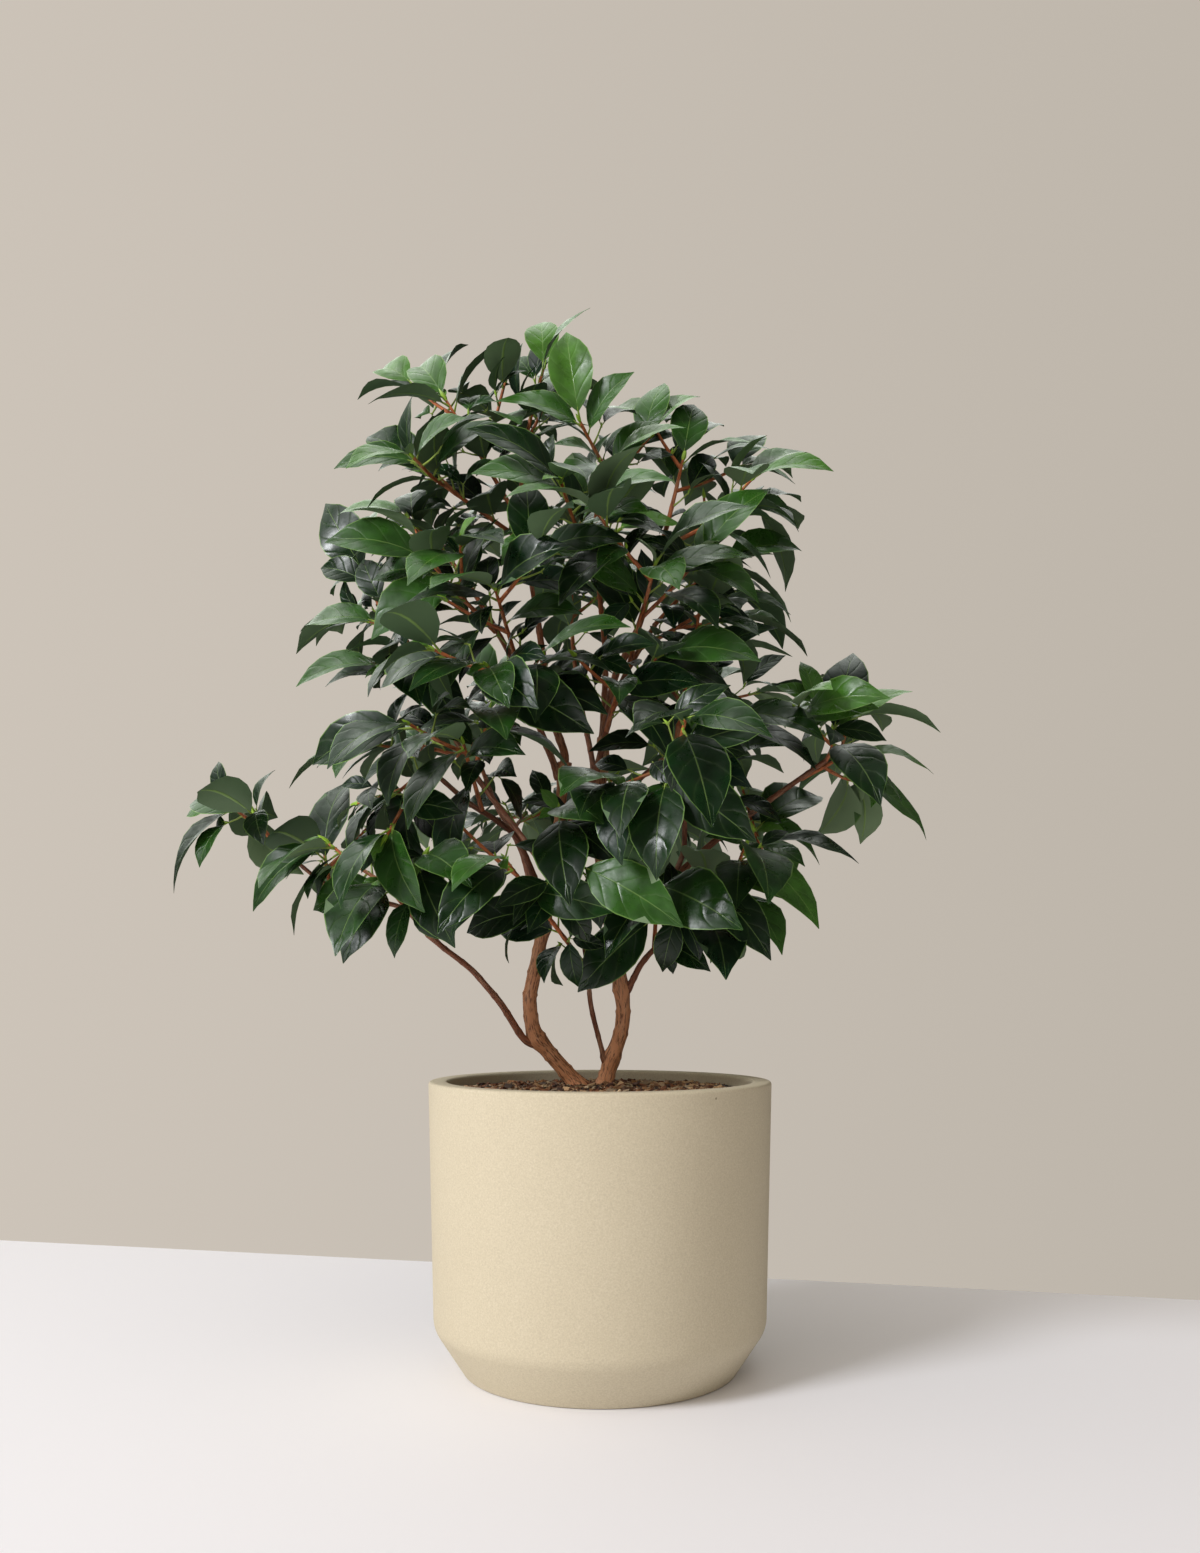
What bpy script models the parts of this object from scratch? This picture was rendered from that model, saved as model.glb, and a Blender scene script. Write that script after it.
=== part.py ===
# Camellia shrub in a round cast stone pot: two leaning trunks and a thin centre stem, boughs that
# grow from them, and masses of leafy shoots that grow from the boughs.
# The origin is the centre of the pot's flat underside, +Z is up and the plant's face is along -Y.

import math
import random

import bmesh
import bpy
from mathutils import Vector
from mathutils.bvhtree import BVHTree

MM = 0.001
GAP = 0.3 * MM

# Pot
RIM_RADIUS = 120 * MM
RIM_HEIGHT = 202 * MM
RIDGE_RADIUS = 116.4 * MM
RIDGE_HEIGHT = 32.3 * MM
FOOT_RADIUS = 95.5 * MM
WALL = 13.3 * MM
FLOOR = 14 * MM
RIM_ROUND = 2 * MM
RIDGE_ROUND = 4 * MM
POT_SIDES = 36
SOIL_TOP = 195.5 * MM

# Limbs
TRUNK_SIDES = 8
BOUGH_SIDES = 6
TRUNK_STEP = 15 * MM
BOUGH_STEP = 22 * MM
FLARE_REACH = 14 * MM
FLARE = 0.4
COLLAR = 8 * MM
LEAST_LEAVING = 0.45

# Shoots and leaves
SHOOT_SIDES = 3
SHOOT_STEP = 36 * MM
SHOOT_FOOT = 1.8 * MM
SHOOT_TIP = 1.4 * MM
SIDE_SHOOT = 50 * MM
SIDE_SHOOT_SPAN = (0.75, 1.1)
SIDE_SHOOT_SPREAD = (40, 58)
SIDE_SHOOTS_FROM = 0.5
SIDE_SHOOTS_OVER = 0.36
GOLDEN_ANGLE = math.radians(137.5)
INTERNODE = 22 * MM
CROWDED_LEAVES = 3
CROWDED_INTERNODE = 5 * MM
BARE = 0.3
LEAF_LENGTH = 70 * MM
LESS_HIGHER = 0.05
MIDDLE_HEIGHT = 480 * MM
LEAF_SPAN = (0.8, 1.12)
TIP_SPREAD = (8, 30)
CROWDED_SPREAD = (34, 58)
OPEN_SPREAD = (56, 78)
CROWN_CENTRE = Vector((0, 0, 440 * MM))
OUTWARD = 0.4
LIGHT = Vector((-0.3, -0.9, 0.3))
TURNS_UP = 0.5
TURNS_UP_FROM = 0.35
TURNS_OUT = 0.35
TURNS_TO_LIGHT = 0.6
TURNS_ALONG = 0.3
ROLL = 24
LEAF_WIDTH = 0.46
LEAF_THICK = 0.022
LEAF_SECTIONS = [(0.38, 0.48, 1.3), (0.7, 0.37, 1)]
PETIOLE = 0.42 * MM
PETIOLE_LENGTH = 0.1
LEAF_CLEAR = 0.16
DROOP = math.radians(58)
FOLD = math.radians(14)
FLAT = math.radians(4)
TRIES = 7
SHARE = 24 * MM
LOWEST_LEAF = 262 * MM

# Each limb: the limb it grows from, how far along that, the places it passes (mm), then its radius
# at the foot and at the tip (mm). Both trunks stand on the soil.
LIMBS = {
    "left_trunk": (None, 0, [(-15, 18, 196), (-47, 10, 235), (-50, 8, 257), (-42, 4, 299),
                             (-31, -2, 358), (-25, -4, 425)], 5.6, 3.4),
    "right_trunk": (None, 0, [(3, 20, 196), (9, 15, 218), (16, 10, 242), (14, 6, 275), (0, 0, 364),
                              (3, 6, 444)], 5.4, 3.5),
    "centre_stem": ("right_trunk", 0.08, [(-6, 2, 252), (-11, -12, 296), (-23, -30, 350)], 1.9, 1.3),
    "left_low_bough": ("left_trunk", 0.19, [(-69, 4, 254), (-92, -2, 281), (-112, -8, 297),
                                            (-130, -26, 318)], 2.7, 1.7),
    "far_left_bough": ("left_low_bough", 0.83, [(-139, -2, 323), (-190, 0, 338), (-232, 0, 372)],
                       1.9, 1.3),
    "left_middle_bough": ("left_trunk", 0.6, [(-59, -18, 372), (-88, -40, 391), (-107, -50, 407)],
                          2.4, 1.6),
    "left_rising_bough": ("left_trunk", 0.68, [(-61, 20, 382), (-93, 26, 425), (-110, 20, 459),
                                               (-138, 0, 515)], 2.3, 1.5),
    "left_leader": ("left_trunk", 0.96, [(-42, -10, 448), (-54, -22, 481), (-80, -38, 526)], 2.6, 1.7),
    "centre_leader": ("left_trunk", 1, [(-35, 0, 461), (-42, 4, 513), (-56, 8, 606)], 2.9, 1.9),
    "right_low_bough": ("right_trunk", 0.29, [(30, 0, 285), (42, -8, 297), (60, -16, 303)], 2.4, 1.7),
    "right_sprig": ("right_low_bough", 0.8, [(72, 0, 318), (96, 10, 337), (114, 12, 355)], 1.7, 1.3),
    "right_bough": ("right_trunk", 0.38, [(29, 12, 312), (52, 18, 343), (88, 18, 377),
                                          (160, 4, 428)], 3.1, 1.7),
    "right_inner_bough": ("right_bough", 0.34, [(59, 0, 364), (58, -20, 393), (52, -40, 434)],
                          2.0, 1.5),
    "right_middle_bough": ("right_trunk", 0.72, [(10, -14, 389), (25, -30, 407), (41, -44, 419)],
                           2.1, 1.6),
    "right_leader": ("right_trunk", 1, [(11, 4, 488), (27, 0, 521), (47, -10, 590)], 2.9, 1.8),
    "middle_leader": ("right_trunk", 0.93, [(4, 26, 501), (1, 32, 541), (-4, 26, 596)], 2.4, 1.6),
    "cross_bough": ("left_trunk", 0.8, [(-4, -16, 413), (3, -24, 439), (17, -20, 482),
                                        (39, 4, 524)], 2.6, 1.7),
    "back_left_bough": ("left_trunk", 0.52, [(-58, 38, 368), (-78, 66, 404), (-88, 86, 428)],
                        2.4, 1.6),
    "back_right_bough": ("right_trunk", 0.56, [(30, 42, 380), (50, 68, 412), (62, 88, 436)],
                         2.4, 1.6),
    "back_middle_bough": ("right_trunk", 0.8, [(-6, 40, 436), (-14, 66, 480), (-20, 84, 520)],
                          2.4, 1.6),
}

# Each mass of leaves: the limb its stem grows from, how far along that, the stem's tip (mm), its
# count of side shoots, how far its leaves hang (0 upright, 1 hanging), and the seed of its rule.
MASSES = {
    "crown_left": ("centre_leader", 0.96, (-108, -5, 679), 2, 0.2, 841),
    "crown_top": ("centre_leader", 1, (-40, 0, 703), 1, 0, 402),
    "crown_middle": ("middle_leader", 1, (8, -22, 628), 2, 0.1, 363),
    "crown_front": ("centre_leader", 0.78, (-8, -70, 566), 2, 0.35, 84),
    "crown_shoulder": ("right_leader", 1, (58, -8, 636), 2, 0.1, 365),
    "right_peak": ("right_leader", 0.9, (102, 0, 606), 2, 0.3, 406),
    "upper_left": ("centre_leader", 0.88, (-116, -30, 616), 2, 0.2, 327),
    "left_shoulder": ("left_leader", 1, (-117, 10, 582), 2, 0.3, 448),
    "left_bright": ("left_leader", 0.85, (-111, -66, 545), 2, 0.3, 9),
    "left_side": ("left_rising_bough", 1, (-164, 10, 528), 2, 0.2, 290),
    "left_elbow": ("left_rising_bough", 0.8, (-146, -20, 488), 1, 0.3, 11),
    "left_waist": ("left_rising_bough", 0.55, (-138, 34, 446), 1, 0.3, 372),
    "left_skirt": ("left_middle_bough", 1, (-136, -52, 396), 2, 0.4, 333),
    "left_front": ("left_middle_bough", 0.7, (-87, -90, 422), 2, 0.5, 174),
    "far_left_tip": ("far_left_bough", 1, (-244, 0, 390), 1, 0.6, 243),
    "far_left_middle": ("far_left_bough", 0.62, (-196, 8, 362), 1, 0.4, 376),
    "low_left": ("left_low_bough", 1, (-144, -50, 338), 2, 0.6, 657),
    "centre_high": ("left_leader", 0.6, (-66, -95, 518), 2, 0.3, 18),
    "centre_front": ("left_leader", 0.35, (-70, -112, 466), 2, 0.4, 219),
    "centre_heart": ("cross_bough", 0.45, (12, -76, 462), 2, 0.4, 140),
    "centre_buds": ("centre_stem", 1, (-27, -55, 384), 1, 0.4, 101),
    "centre_low": ("centre_stem", 0.5, (-60, -90, 348), 2, 0.4, 142),
    "right_shoulder": ("cross_bough", 1, (86, 8, 570), 2, 0.2, 263),
    "right_upper_side": ("cross_bough", 0.85, (76, -30, 526), 1, 0.3, 24),
    "right_front_high": ("cross_bough", 0.72, (35, -92, 535), 2, 0.3, 225),
    "right_side": ("right_inner_bough", 1, (62, -34, 482), 2, 0.4, 266),
    "right_waist": ("right_bough", 0.62, (76, 10, 430), 2, 0.4, 387),
    "far_right_top": ("right_bough", 1, (162, -10, 446), 1, 0.1, 428),
    "far_right": ("right_bough", 0.9, (176, 16, 434), 2, 0.45, 509),
    "right_low_tip": ("right_sprig", 1, (110, 8, 378), 1, 0.5, 550),
    "right_low_side": ("right_low_bough", 1, (90, -14, 338), 2, 0.5, 431),
    "right_low_front": ("right_low_bough", 0.6, (38, -56, 334), 1, 0.5, 312),
    "right_front_low": ("right_middle_bough", 1, (42, -104, 396), 2, 0.45, 153),
    "back_left_high": ("back_left_bough", 1, (-112, 128, 488), 2, 0.25, 34),
    "back_left_low": ("back_left_bough", 0.6, (-60, 132, 408), 2, 0.4, 35),
    "back_right_high": ("back_right_bough", 1, (88, 122, 506), 2, 0.25, 36),
    "back_right_low": ("back_right_bough", 0.6, (64, 134, 394), 2, 0.4, 37),
    "back_crown": ("back_middle_bough", 1, (-22, 112, 592), 3, 0.2, 38),
}

# Each surface: its colour and its roughness
CAST_STONE = ((0.63, 0.55, 0.4), 0.75)
POTTING_SOIL = ((0.04, 0.022, 0.014), 0.95)
TAN_BARK = ((0.34, 0.19, 0.11), 0.8)
RED_BARK = ((0.25, 0.11, 0.065), 0.8)
FOLIAGE = ((0.022, 0.062, 0.024), 0.35)
ROUND_SHADING = math.radians(35)
BARK_SHADING = math.radians(60)


def material(name, colour, roughness):
    made = bpy.data.materials.new(name)
    made.use_nodes = True
    shader = made.node_tree.nodes["Principled BSDF"]
    shader.inputs["Base Color"].default_value = (*colour, 1)
    shader.inputs["Roughness"].default_value = roughness
    return made


def band(low, high, sides):
    """The faces between two rings of points, from the first point of each."""
    found = []
    for side in range(sides):
        beside = (side + 1) % sides
        found.append((low + side, low + beside, high + beside, high + side))
    return found


def solid(name, points, faces, surface, sharp=None):
    """One object from points and faces, its faces turned outward. An edge over the sharp angle stays hard."""
    mesh = bpy.data.meshes.new(name)
    mesh.from_pydata([tuple(point) for point in points], [], faces)
    bm = bmesh.new()
    bm.from_mesh(mesh)
    bmesh.ops.recalc_face_normals(bm, faces=bm.faces)
    bm.to_mesh(mesh)
    bm.free()
    if sharp:
        mesh.shade_smooth()
        mesh.set_sharp_from_angle(angle=sharp)
    made = bpy.data.objects.new(name, mesh)
    bpy.context.collection.objects.link(made)
    mesh.materials.append(material(name, *surface))
    return made


# Pot and soil


def rounded(before, corner, after, radius, steps):
    """The corner of a profile as an arc that meets both of its sides."""
    corner, toward, onward = Vector(corner), Vector(before), Vector(after)
    one = (toward - corner).normalized()
    two = (onward - corner).normalized()
    half = one.angle(two) / 2
    centre = corner + (one + two).normalized() * radius / math.sin(half)
    start = corner + one * radius / math.tan(half) - centre
    end = corner + two * radius / math.tan(half) - centre
    return [centre + start.slerp(end, step / steps).normalized() * radius for step in range(steps + 1)]


def turned(name, profile, sides, surface):
    """A solid of revolution about Z from (radius, height) points; both ends lie on the axis."""
    rings = profile[1:-1]
    points = [Vector((0, 0, profile[0][1]))]
    for radius, height in rings:
        for side in range(sides):
            turn = math.tau * side / sides
            points.append(Vector((radius * math.cos(turn), radius * math.sin(turn), height)))
    points.append(Vector((0, 0, profile[-1][1])))
    last = len(points) - 1
    faces = []
    for side in range(sides):
        beside = (side + 1) % sides
        faces.append((0, 1 + side, 1 + beside))
        faces.append((last, last - sides + side, last - sides + beside))
    for low in range(1, last - sides, sides):
        faces += band(low, low + sides, sides)
    return solid(name, points, faces, surface, ROUND_SHADING)


def inner_radius(height):
    """The pot's inner wall runs parallel to the outer one, from its floor to its rim."""
    taper = (RIM_RADIUS - RIDGE_RADIUS) / (RIM_HEIGHT - RIDGE_HEIGHT)
    return RIM_RADIUS - WALL - taper * (RIM_HEIGHT - height)


def make_pot():
    foot = (FOOT_RADIUS, 0)
    ridge = (RIDGE_RADIUS, RIDGE_HEIGHT)
    rim = (RIM_RADIUS, RIM_HEIGHT)
    lip = (RIM_RADIUS - WALL, RIM_HEIGHT)
    floor_edge = (inner_radius(FLOOR) - WALL, FLOOR)
    wall_foot = (inner_radius(RIDGE_HEIGHT), RIDGE_HEIGHT)
    profile = [(0, 0)]
    profile += rounded((0, 0), foot, ridge, RIM_ROUND, 2)
    profile += rounded(foot, ridge, rim, RIDGE_ROUND, 2)
    profile += rounded(ridge, rim, lip, RIM_ROUND, 2)
    profile += rounded(rim, lip, wall_foot, RIM_ROUND, 2)
    profile += [wall_foot, floor_edge, (0, FLOOR)]
    turned("pot", profile, POT_SIDES, CAST_STONE)


def make_soil():
    low = FLOOR + GAP
    profile = [
        (0, low),
        (inner_radius(FLOOR) - WALL - GAP, low),
        (inner_radius(RIDGE_HEIGHT) - 2 * GAP, RIDGE_HEIGHT),
        (inner_radius(SOIL_TOP) - 2 * GAP, SOIL_TOP),
        (0, SOIL_TOP),
    ]
    turned("soil", profile, POT_SIDES, POTTING_SOIL)


# Courses: each limb, stem and shoot follows a list of places along its centre


def curve_through(places, step):
    """A smooth curve through the places, with points about a step apart."""
    ends = [2 * places[0] - places[1], *places, 2 * places[-1] - places[-2]]
    course = [places[0]]
    for before, start, end, after in zip(ends, ends[1:], ends[2:], ends[3:]):
        count = max(1, round((end - start).length / step))
        for index in range(1, count + 1):
            t = index / count
            course.append(
                0.5 * (2 * start + (end - before) * t + (2 * before - 5 * start + 4 * end - after) * t**2
                       + (3 * start - before - 3 * end + after) * t**3)
            )
    return course


def arch(start, heading, end, step):
    """A curve that leaves start along the heading and bends to reach the end."""
    span = (end - start).length
    bend = start + heading * span * 0.45
    count = max(2, round(span / step))
    return [
        (1 - t) ** 2 * start + 2 * t * (1 - t) * bend + t**2 * end
        for t in (index / count for index in range(count + 1))
    ]


def directions(course):
    found = [course[1] - course[0]]
    found += [after - before for before, after in zip(course, course[2:])]
    found.append(course[-1] - course[-2])
    return [way.normalized() for way in found]


def place_along(course, along):
    """The place and the direction at this part of a course's length."""
    lengths = [(after - before).length for before, after in zip(course, course[1:])]
    left = sum(lengths) * along
    for index, length in enumerate(lengths):
        if left <= length or index == len(lengths) - 1:
            way = (course[index + 1] - course[index]).normalized()
            return course[index] + way * min(left, length), way
        left -= length


def square_to(way, direction):
    """The part of the direction that is square to the way, at length 1."""
    return (direction - way * direction.dot(way)).normalized()


def tube(course, radii, sides, foot_plane=None):
    """Points and faces of a closed tube. A foot plane's normal mitres the first ring to it."""
    ways = directions(course)
    across = square_to(ways[0], Vector((0.3, 1, 0.2)))
    points = []
    for place, way, radius in zip(course, ways, radii):
        across = square_to(way, across)
        other = way.cross(across)
        for side in range(sides):
            turn = math.tau * side / sides
            points.append(place + (across * math.cos(turn) + other * math.sin(turn)) * radius)
    if foot_plane:
        for side in range(sides):
            off = (points[side] - course[0]).dot(foot_plane)
            points[side] = points[side] - ways[0] * off / ways[0].dot(foot_plane)
    last = len(points) - sides
    faces = [tuple(range(sides)), tuple(range(last, len(points)))]
    for low in range(0, last, sides):
        faces += band(low, low + sides, sides)
    return points, faces


# Limbs


class Limb:
    """A tapering limb: its course, its radius along it and its shape."""

    def __init__(self, course, foot_radius, tip_radius, sides, foot_plane=None, flare=0):
        self.course = course
        self.foot_radius = foot_radius
        self.tip_radius = tip_radius
        reach = 0
        radii = []
        length = sum((after - before).length for before, after in zip(course, course[1:]))
        for index, place in enumerate(course):
            reach += (place - course[index - 1]).length if index else 0
            swell = 1 + flare * max(0, 1 - reach / FLARE_REACH) ** 2
            radii.append(self.radius(reach / length) * swell)
        self.shape = tube(course, radii, sides, foot_plane)

    def radius(self, along):
        return self.foot_radius + (self.tip_radius - self.foot_radius) * along

    def seat(self, along, toward):
        """Where a child that heads toward a place sits: its foot, the seat's normal and its heading."""
        centre, way = place_along(self.course, along)
        if along == 1:
            heading = (way + 0.6 * (toward - centre).normalized()).normalized()
            return centre + way * GAP, way, heading
        normal = square_to(way, toward - centre)
        foot = centre + normal * (self.radius(along) + GAP)
        heading = (toward - foot).normalized()
        if heading.dot(normal) < LEAST_LEAVING:
            heading = (square_to(normal, heading) + normal * LEAST_LEAVING).normalized()
        return foot, normal, heading


def grow_limbs():
    limbs = {}
    for name, (carrier, along, places, foot_radius, tip_radius) in LIMBS.items():
        places = [Vector(place) * MM for place in places]
        if carrier:
            foot, normal, heading = limbs[carrier].seat(along, places[0])
            course = curve_through([foot, foot + heading * COLLAR, *places], BOUGH_STEP)
            limbs[name] = Limb(course, foot_radius * MM, tip_radius * MM, BOUGH_SIDES, normal)
        else:
            places[0].z = SOIL_TOP + GAP
            course = curve_through(places, TRUNK_STEP)
            up = Vector((0, 0, 1))
            limbs[name] = Limb(course, foot_radius * MM, tip_radius * MM, TRUNK_SIDES, up, FLARE)
    return limbs


# Foliage


def leaf_shape(foot, way, face, length, spare=0, start=0):
    """A leaf as a thin shell: a three-cornered petiole, two broad sections that arch, and a tip.

    spare thickens it all round, and start leaves out its first part."""
    across = way.cross(face)
    thick = length * LEAF_THICK / 2 + spare
    sections = [(0, PETIOLE + spare, PETIOLE), (PETIOLE_LENGTH, PETIOLE + spare, PETIOLE)]
    for along, half, depth in LEAF_SECTIONS:
        sections.append((along, length * LEAF_WIDTH * half + spare, thick * depth))
    points = []
    for along, half, depth in sections:
        along = max(along, start)
        place, up = leaf_place(foot, way, face, length, along)
        lift = math.sin(FOLD) * half if along > 0 else 0
        points.append(place - across * half + up * (lift + depth / 2))
        points.append(place + across * half + up * (lift + depth / 2))
        points.append(place - up * depth)
    points.append(leaf_place(foot, way, face, length, 1)[0])
    faces = [(0, 1, 2)]
    for low in (0, 3, 6):
        for corners in band(low, low + 3, 3):
            faces.append(corners[:3])
            faces.append((corners[0], *corners[2:]))
    faces += [(9, 10, 12), (10, 11, 12), (11, 9, 12)]
    return points, faces


def leaf_place(foot, way, face, length, along):
    """The middle of a leaf's blade and its upward side there, on the arc that it droops in."""
    turn = DROOP * along
    place = foot + length / DROOP * (way * math.sin(turn) - face * (1 - math.cos(turn)))
    return place, face * math.cos(turn) + way * math.sin(turn)


class Thing:
    """A shape with its box and tree, for finding what it meets."""

    def __init__(self, shape):
        self.points, self.faces = shape
        self.low = [min(point[axis] for point in self.points) for axis in range(3)]
        self.high = [max(point[axis] for point in self.points) for axis in range(3)]
        self.tree = BVHTree.FromPolygons(self.points, self.faces)

    def meets(self, others):
        for other in others:
            apart = any(
                self.low[axis] > other.high[axis] or self.high[axis] < other.low[axis] for axis in range(3)
            )
            if not apart and self.tree.overlap(other.tree):
                return True
        return False


class Mass:
    """One mass of leaves: a stem, its side shoots and their leaves, grown by a seeded rule."""

    def __init__(self, limbs, carrier, along, tip, side_shoots, hang, seed):
        self.dice = random.Random(seed)
        self.hang = hang
        self.side_shoots = side_shoots
        tip = Vector(tip) * MM
        foot, normal, heading = limbs[carrier].seat(along, tip)
        self.heart = foot.lerp(tip, 0.8)
        self.courses = [arch(foot, heading, tip, SHOOT_STEP)]
        self.twigs = [self.twig(self.courses[0], SHOOT_FOOT, normal)]
        self.roomy_twigs = [Thing(tube(self.courses[0], [SHOOT_FOOT + GAP] * len(self.courses[0]), 3))]
        self.leaves = []
        self.blades = []

    def twig(self, course, foot_radius, foot_plane=None):
        last = len(course) - 1
        radii = [foot_radius + (SHOOT_TIP - foot_radius) * index / last for index in range(last + 1)]
        return Thing(tube(course, radii, SHOOT_SIDES, foot_plane))

    def keeps_its_space(self, place, hearts):
        return all((place - self.heart).length < (place - heart).length + SHARE for heart in hearts)

    def grow_side_shoots(self, limb_things, others):
        stem = self.courses[0]
        turn = self.dice.uniform(0, math.tau)
        for index in range(self.side_shoots):
            along = SIDE_SHOOTS_FROM + SIDE_SHOOTS_OVER * index / max(1, self.side_shoots - 1)
            foot, way = place_along(stem, along)
            for attempt in range(TRIES):
                turn += GOLDEN_ANGLE
                spread = math.radians(self.dice.uniform(*SIDE_SHOOT_SPREAD))
                length = SIDE_SHOOT * self.dice.uniform(*SIDE_SHOOT_SPAN)
                rise = 0.4 - 0.7 * self.hang
                out = square_to(way, Vector((math.cos(turn), math.sin(turn), rise)))
                heading = way * math.cos(spread) + out * math.sin(spread)
                tip = foot + heading * length + Vector((0, 0, 0.12 * length))
                course = arch(foot, heading, tip, SHOOT_STEP)
                roomy = Thing(tube(course, [SHOOT_TIP + 2 * GAP] * len(course), 3))
                meets = [thing for other in others for thing in other.twigs]
                if not roomy.meets(limb_things) and not roomy.meets(meets):
                    self.courses.append(course)
                    self.twigs.append(self.twig(course, SHOOT_TIP))
                    break

    def grow_leaves(self, limb_things, others):
        """Leaves set at the golden angle down each shoot from its tip, where they find room."""
        hearts = [other.heart for other in others]
        things = limb_things + [thing for other in others for thing in other.twigs + other.leaves]
        for course in self.courses:
            length = sum((after - before).length for before, after in zip(course, course[1:]))
            turn = self.dice.uniform(0, math.tau)
            back = 0
            count = 0
            while back < length * (1 - BARE):
                spreads = TIP_SPREAD if count == 0 else CROWDED_SPREAD
                if count >= CROWDED_LEAVES:
                    spreads = OPEN_SPREAD
                self.grow_leaf(course, 1 - back / length, turn, spreads, things, hearts)
                count += 1
                turn += GOLDEN_ANGLE
                step = CROWDED_INTERNODE if count < CROWDED_LEAVES else INTERNODE
                back += step * self.dice.uniform(0.85, 1.15)

    def grow_leaf(self, course, along, turn, spreads, things, hearts):
        foot, way = place_along(course, along)
        outward = (foot - CROWN_CENTRE).normalized()
        size = LEAF_LENGTH + LESS_HIGHER * (MIDDLE_HEIGHT - foot.z)
        size *= self.dice.uniform(*LEAF_SPAN)
        turns_up = TURNS_UP * min(1, self.hang / TURNS_UP_FROM)
        for attempt in range(TRIES):
            spread = math.radians(self.dice.uniform(*spreads))
            hang = self.hang * self.dice.uniform(0.2, 1.3)
            out = square_to(way, Vector((math.cos(turn), math.sin(turn), self.dice.uniform(-0.1, 0.5))))
            leaf_way = way * math.cos(spread) + out * math.sin(spread) + OUTWARD * outward
            leaf_way = (leaf_way - Vector((0, 0, hang))).normalized()
            face = Vector((0, 0, turns_up)) + TURNS_OUT * outward + TURNS_TO_LIGHT * LIGHT
            face = square_to(leaf_way, face + TURNS_ALONG * way)
            roll = math.radians(self.dice.uniform(-ROLL, ROLL))
            face = face * math.cos(roll) + leaf_way.cross(face) * math.sin(roll)
            turn += math.radians(self.dice.uniform(25, 65))
            tip = leaf_place(foot, leaf_way, face, size, 1)[0]
            middle = leaf_place(foot, leaf_way, face, size, 0.6)[0]
            if tip.z < LOWEST_LEAF or not self.keeps_its_space(middle, hearts):
                continue
            blade = Thing(leaf_shape(foot, leaf_way, face, size, GAP, LEAF_CLEAR))
            roomy = Thing(leaf_shape(foot, leaf_way, face, size, GAP))
            if blade.meets(self.blades) or blade.meets(self.twigs) or roomy.meets(things):
                continue
            self.leaves.append(Thing(leaf_shape(foot, leaf_way, face, size)))
            self.blades.append(blade)
            return


def grow_masses(limbs):
    masses = {name: Mass(limbs, *row) for name, row in MASSES.items()}
    limb_things = [Thing(limb.shape) for limb in limbs.values()]
    for grow in (Mass.grow_side_shoots, Mass.grow_leaves):
        for mass in masses.values():
            grow(mass, limb_things, [other for other in masses.values() if other is not mass])
    return masses


def fuse(name, things):
    """One closed solid from a mass's stem, shoots and leaves."""
    stem, *rest = [
        solid(f"{name}_{index}", thing.points, thing.faces, FOLIAGE)
        for index, thing in enumerate(things)
    ]
    group = bpy.data.collections.new(name)
    for piece in rest:
        group.objects.link(piece)
    union = stem.modifiers.new("union", "BOOLEAN")
    union.operation = "UNION"
    union.operand_type = "COLLECTION"
    union.collection = group
    bpy.context.view_layer.objects.active = stem
    bpy.ops.object.modifier_apply(modifier=union.name)
    for piece in rest:
        bpy.data.objects.remove(piece)
    bpy.data.collections.remove(group)
    stem.name = name
    keep_largest_body(stem.data)


def keep_largest_body(mesh):
    bm = bmesh.new()
    bm.from_mesh(mesh)
    bodies = []
    waiting = set(bm.verts)
    while waiting:
        body = set()
        front = [waiting.pop()]
        while front:
            point = front.pop()
            body.add(point)
            for edge in point.link_edges:
                other = edge.other_vert(point)
                if other in waiting:
                    waiting.remove(other)
                    front.append(other)
        bodies.append(body)
    largest = max(bodies, key=len)
    bmesh.ops.delete(bm, geom=[point for point in bm.verts if point not in largest], context="VERTS")
    bmesh.ops.dissolve_limit(bm, angle_limit=FLAT, verts=bm.verts, edges=bm.edges)
    bm.to_mesh(mesh)
    bm.free()


def main():
    for thing in list(bpy.data.objects):
        bpy.data.objects.remove(thing)
    make_pot()
    make_soil()
    limbs = grow_limbs()
    for name, limb in limbs.items():
        bark = RED_BARK if name.startswith("right") else TAN_BARK
        solid(name, *limb.shape, bark, BARK_SHADING)
    for name, mass in grow_masses(limbs).items():
        fuse(name, mass.twigs + mass.leaves)


main()
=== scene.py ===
import math
import random

import bmesh
import bpy
import numpy as np
from mathutils import Matrix, Vector, noise
from mathutils.bvhtree import BVHTree


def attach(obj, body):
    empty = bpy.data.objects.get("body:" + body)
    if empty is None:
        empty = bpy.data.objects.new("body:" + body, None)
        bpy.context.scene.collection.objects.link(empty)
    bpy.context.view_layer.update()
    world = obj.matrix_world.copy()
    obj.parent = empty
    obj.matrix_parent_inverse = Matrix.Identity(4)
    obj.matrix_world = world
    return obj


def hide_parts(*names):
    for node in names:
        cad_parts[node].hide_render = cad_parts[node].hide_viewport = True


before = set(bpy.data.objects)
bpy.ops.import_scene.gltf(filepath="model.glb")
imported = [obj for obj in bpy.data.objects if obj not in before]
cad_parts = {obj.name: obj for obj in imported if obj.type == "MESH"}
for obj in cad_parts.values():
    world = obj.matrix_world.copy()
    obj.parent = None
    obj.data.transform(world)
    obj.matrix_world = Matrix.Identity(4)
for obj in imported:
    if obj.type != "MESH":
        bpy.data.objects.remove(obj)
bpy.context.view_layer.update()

mm = 0.001
gap = 0.3 * mm
goldenAngle = math.radians(137.5)
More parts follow.
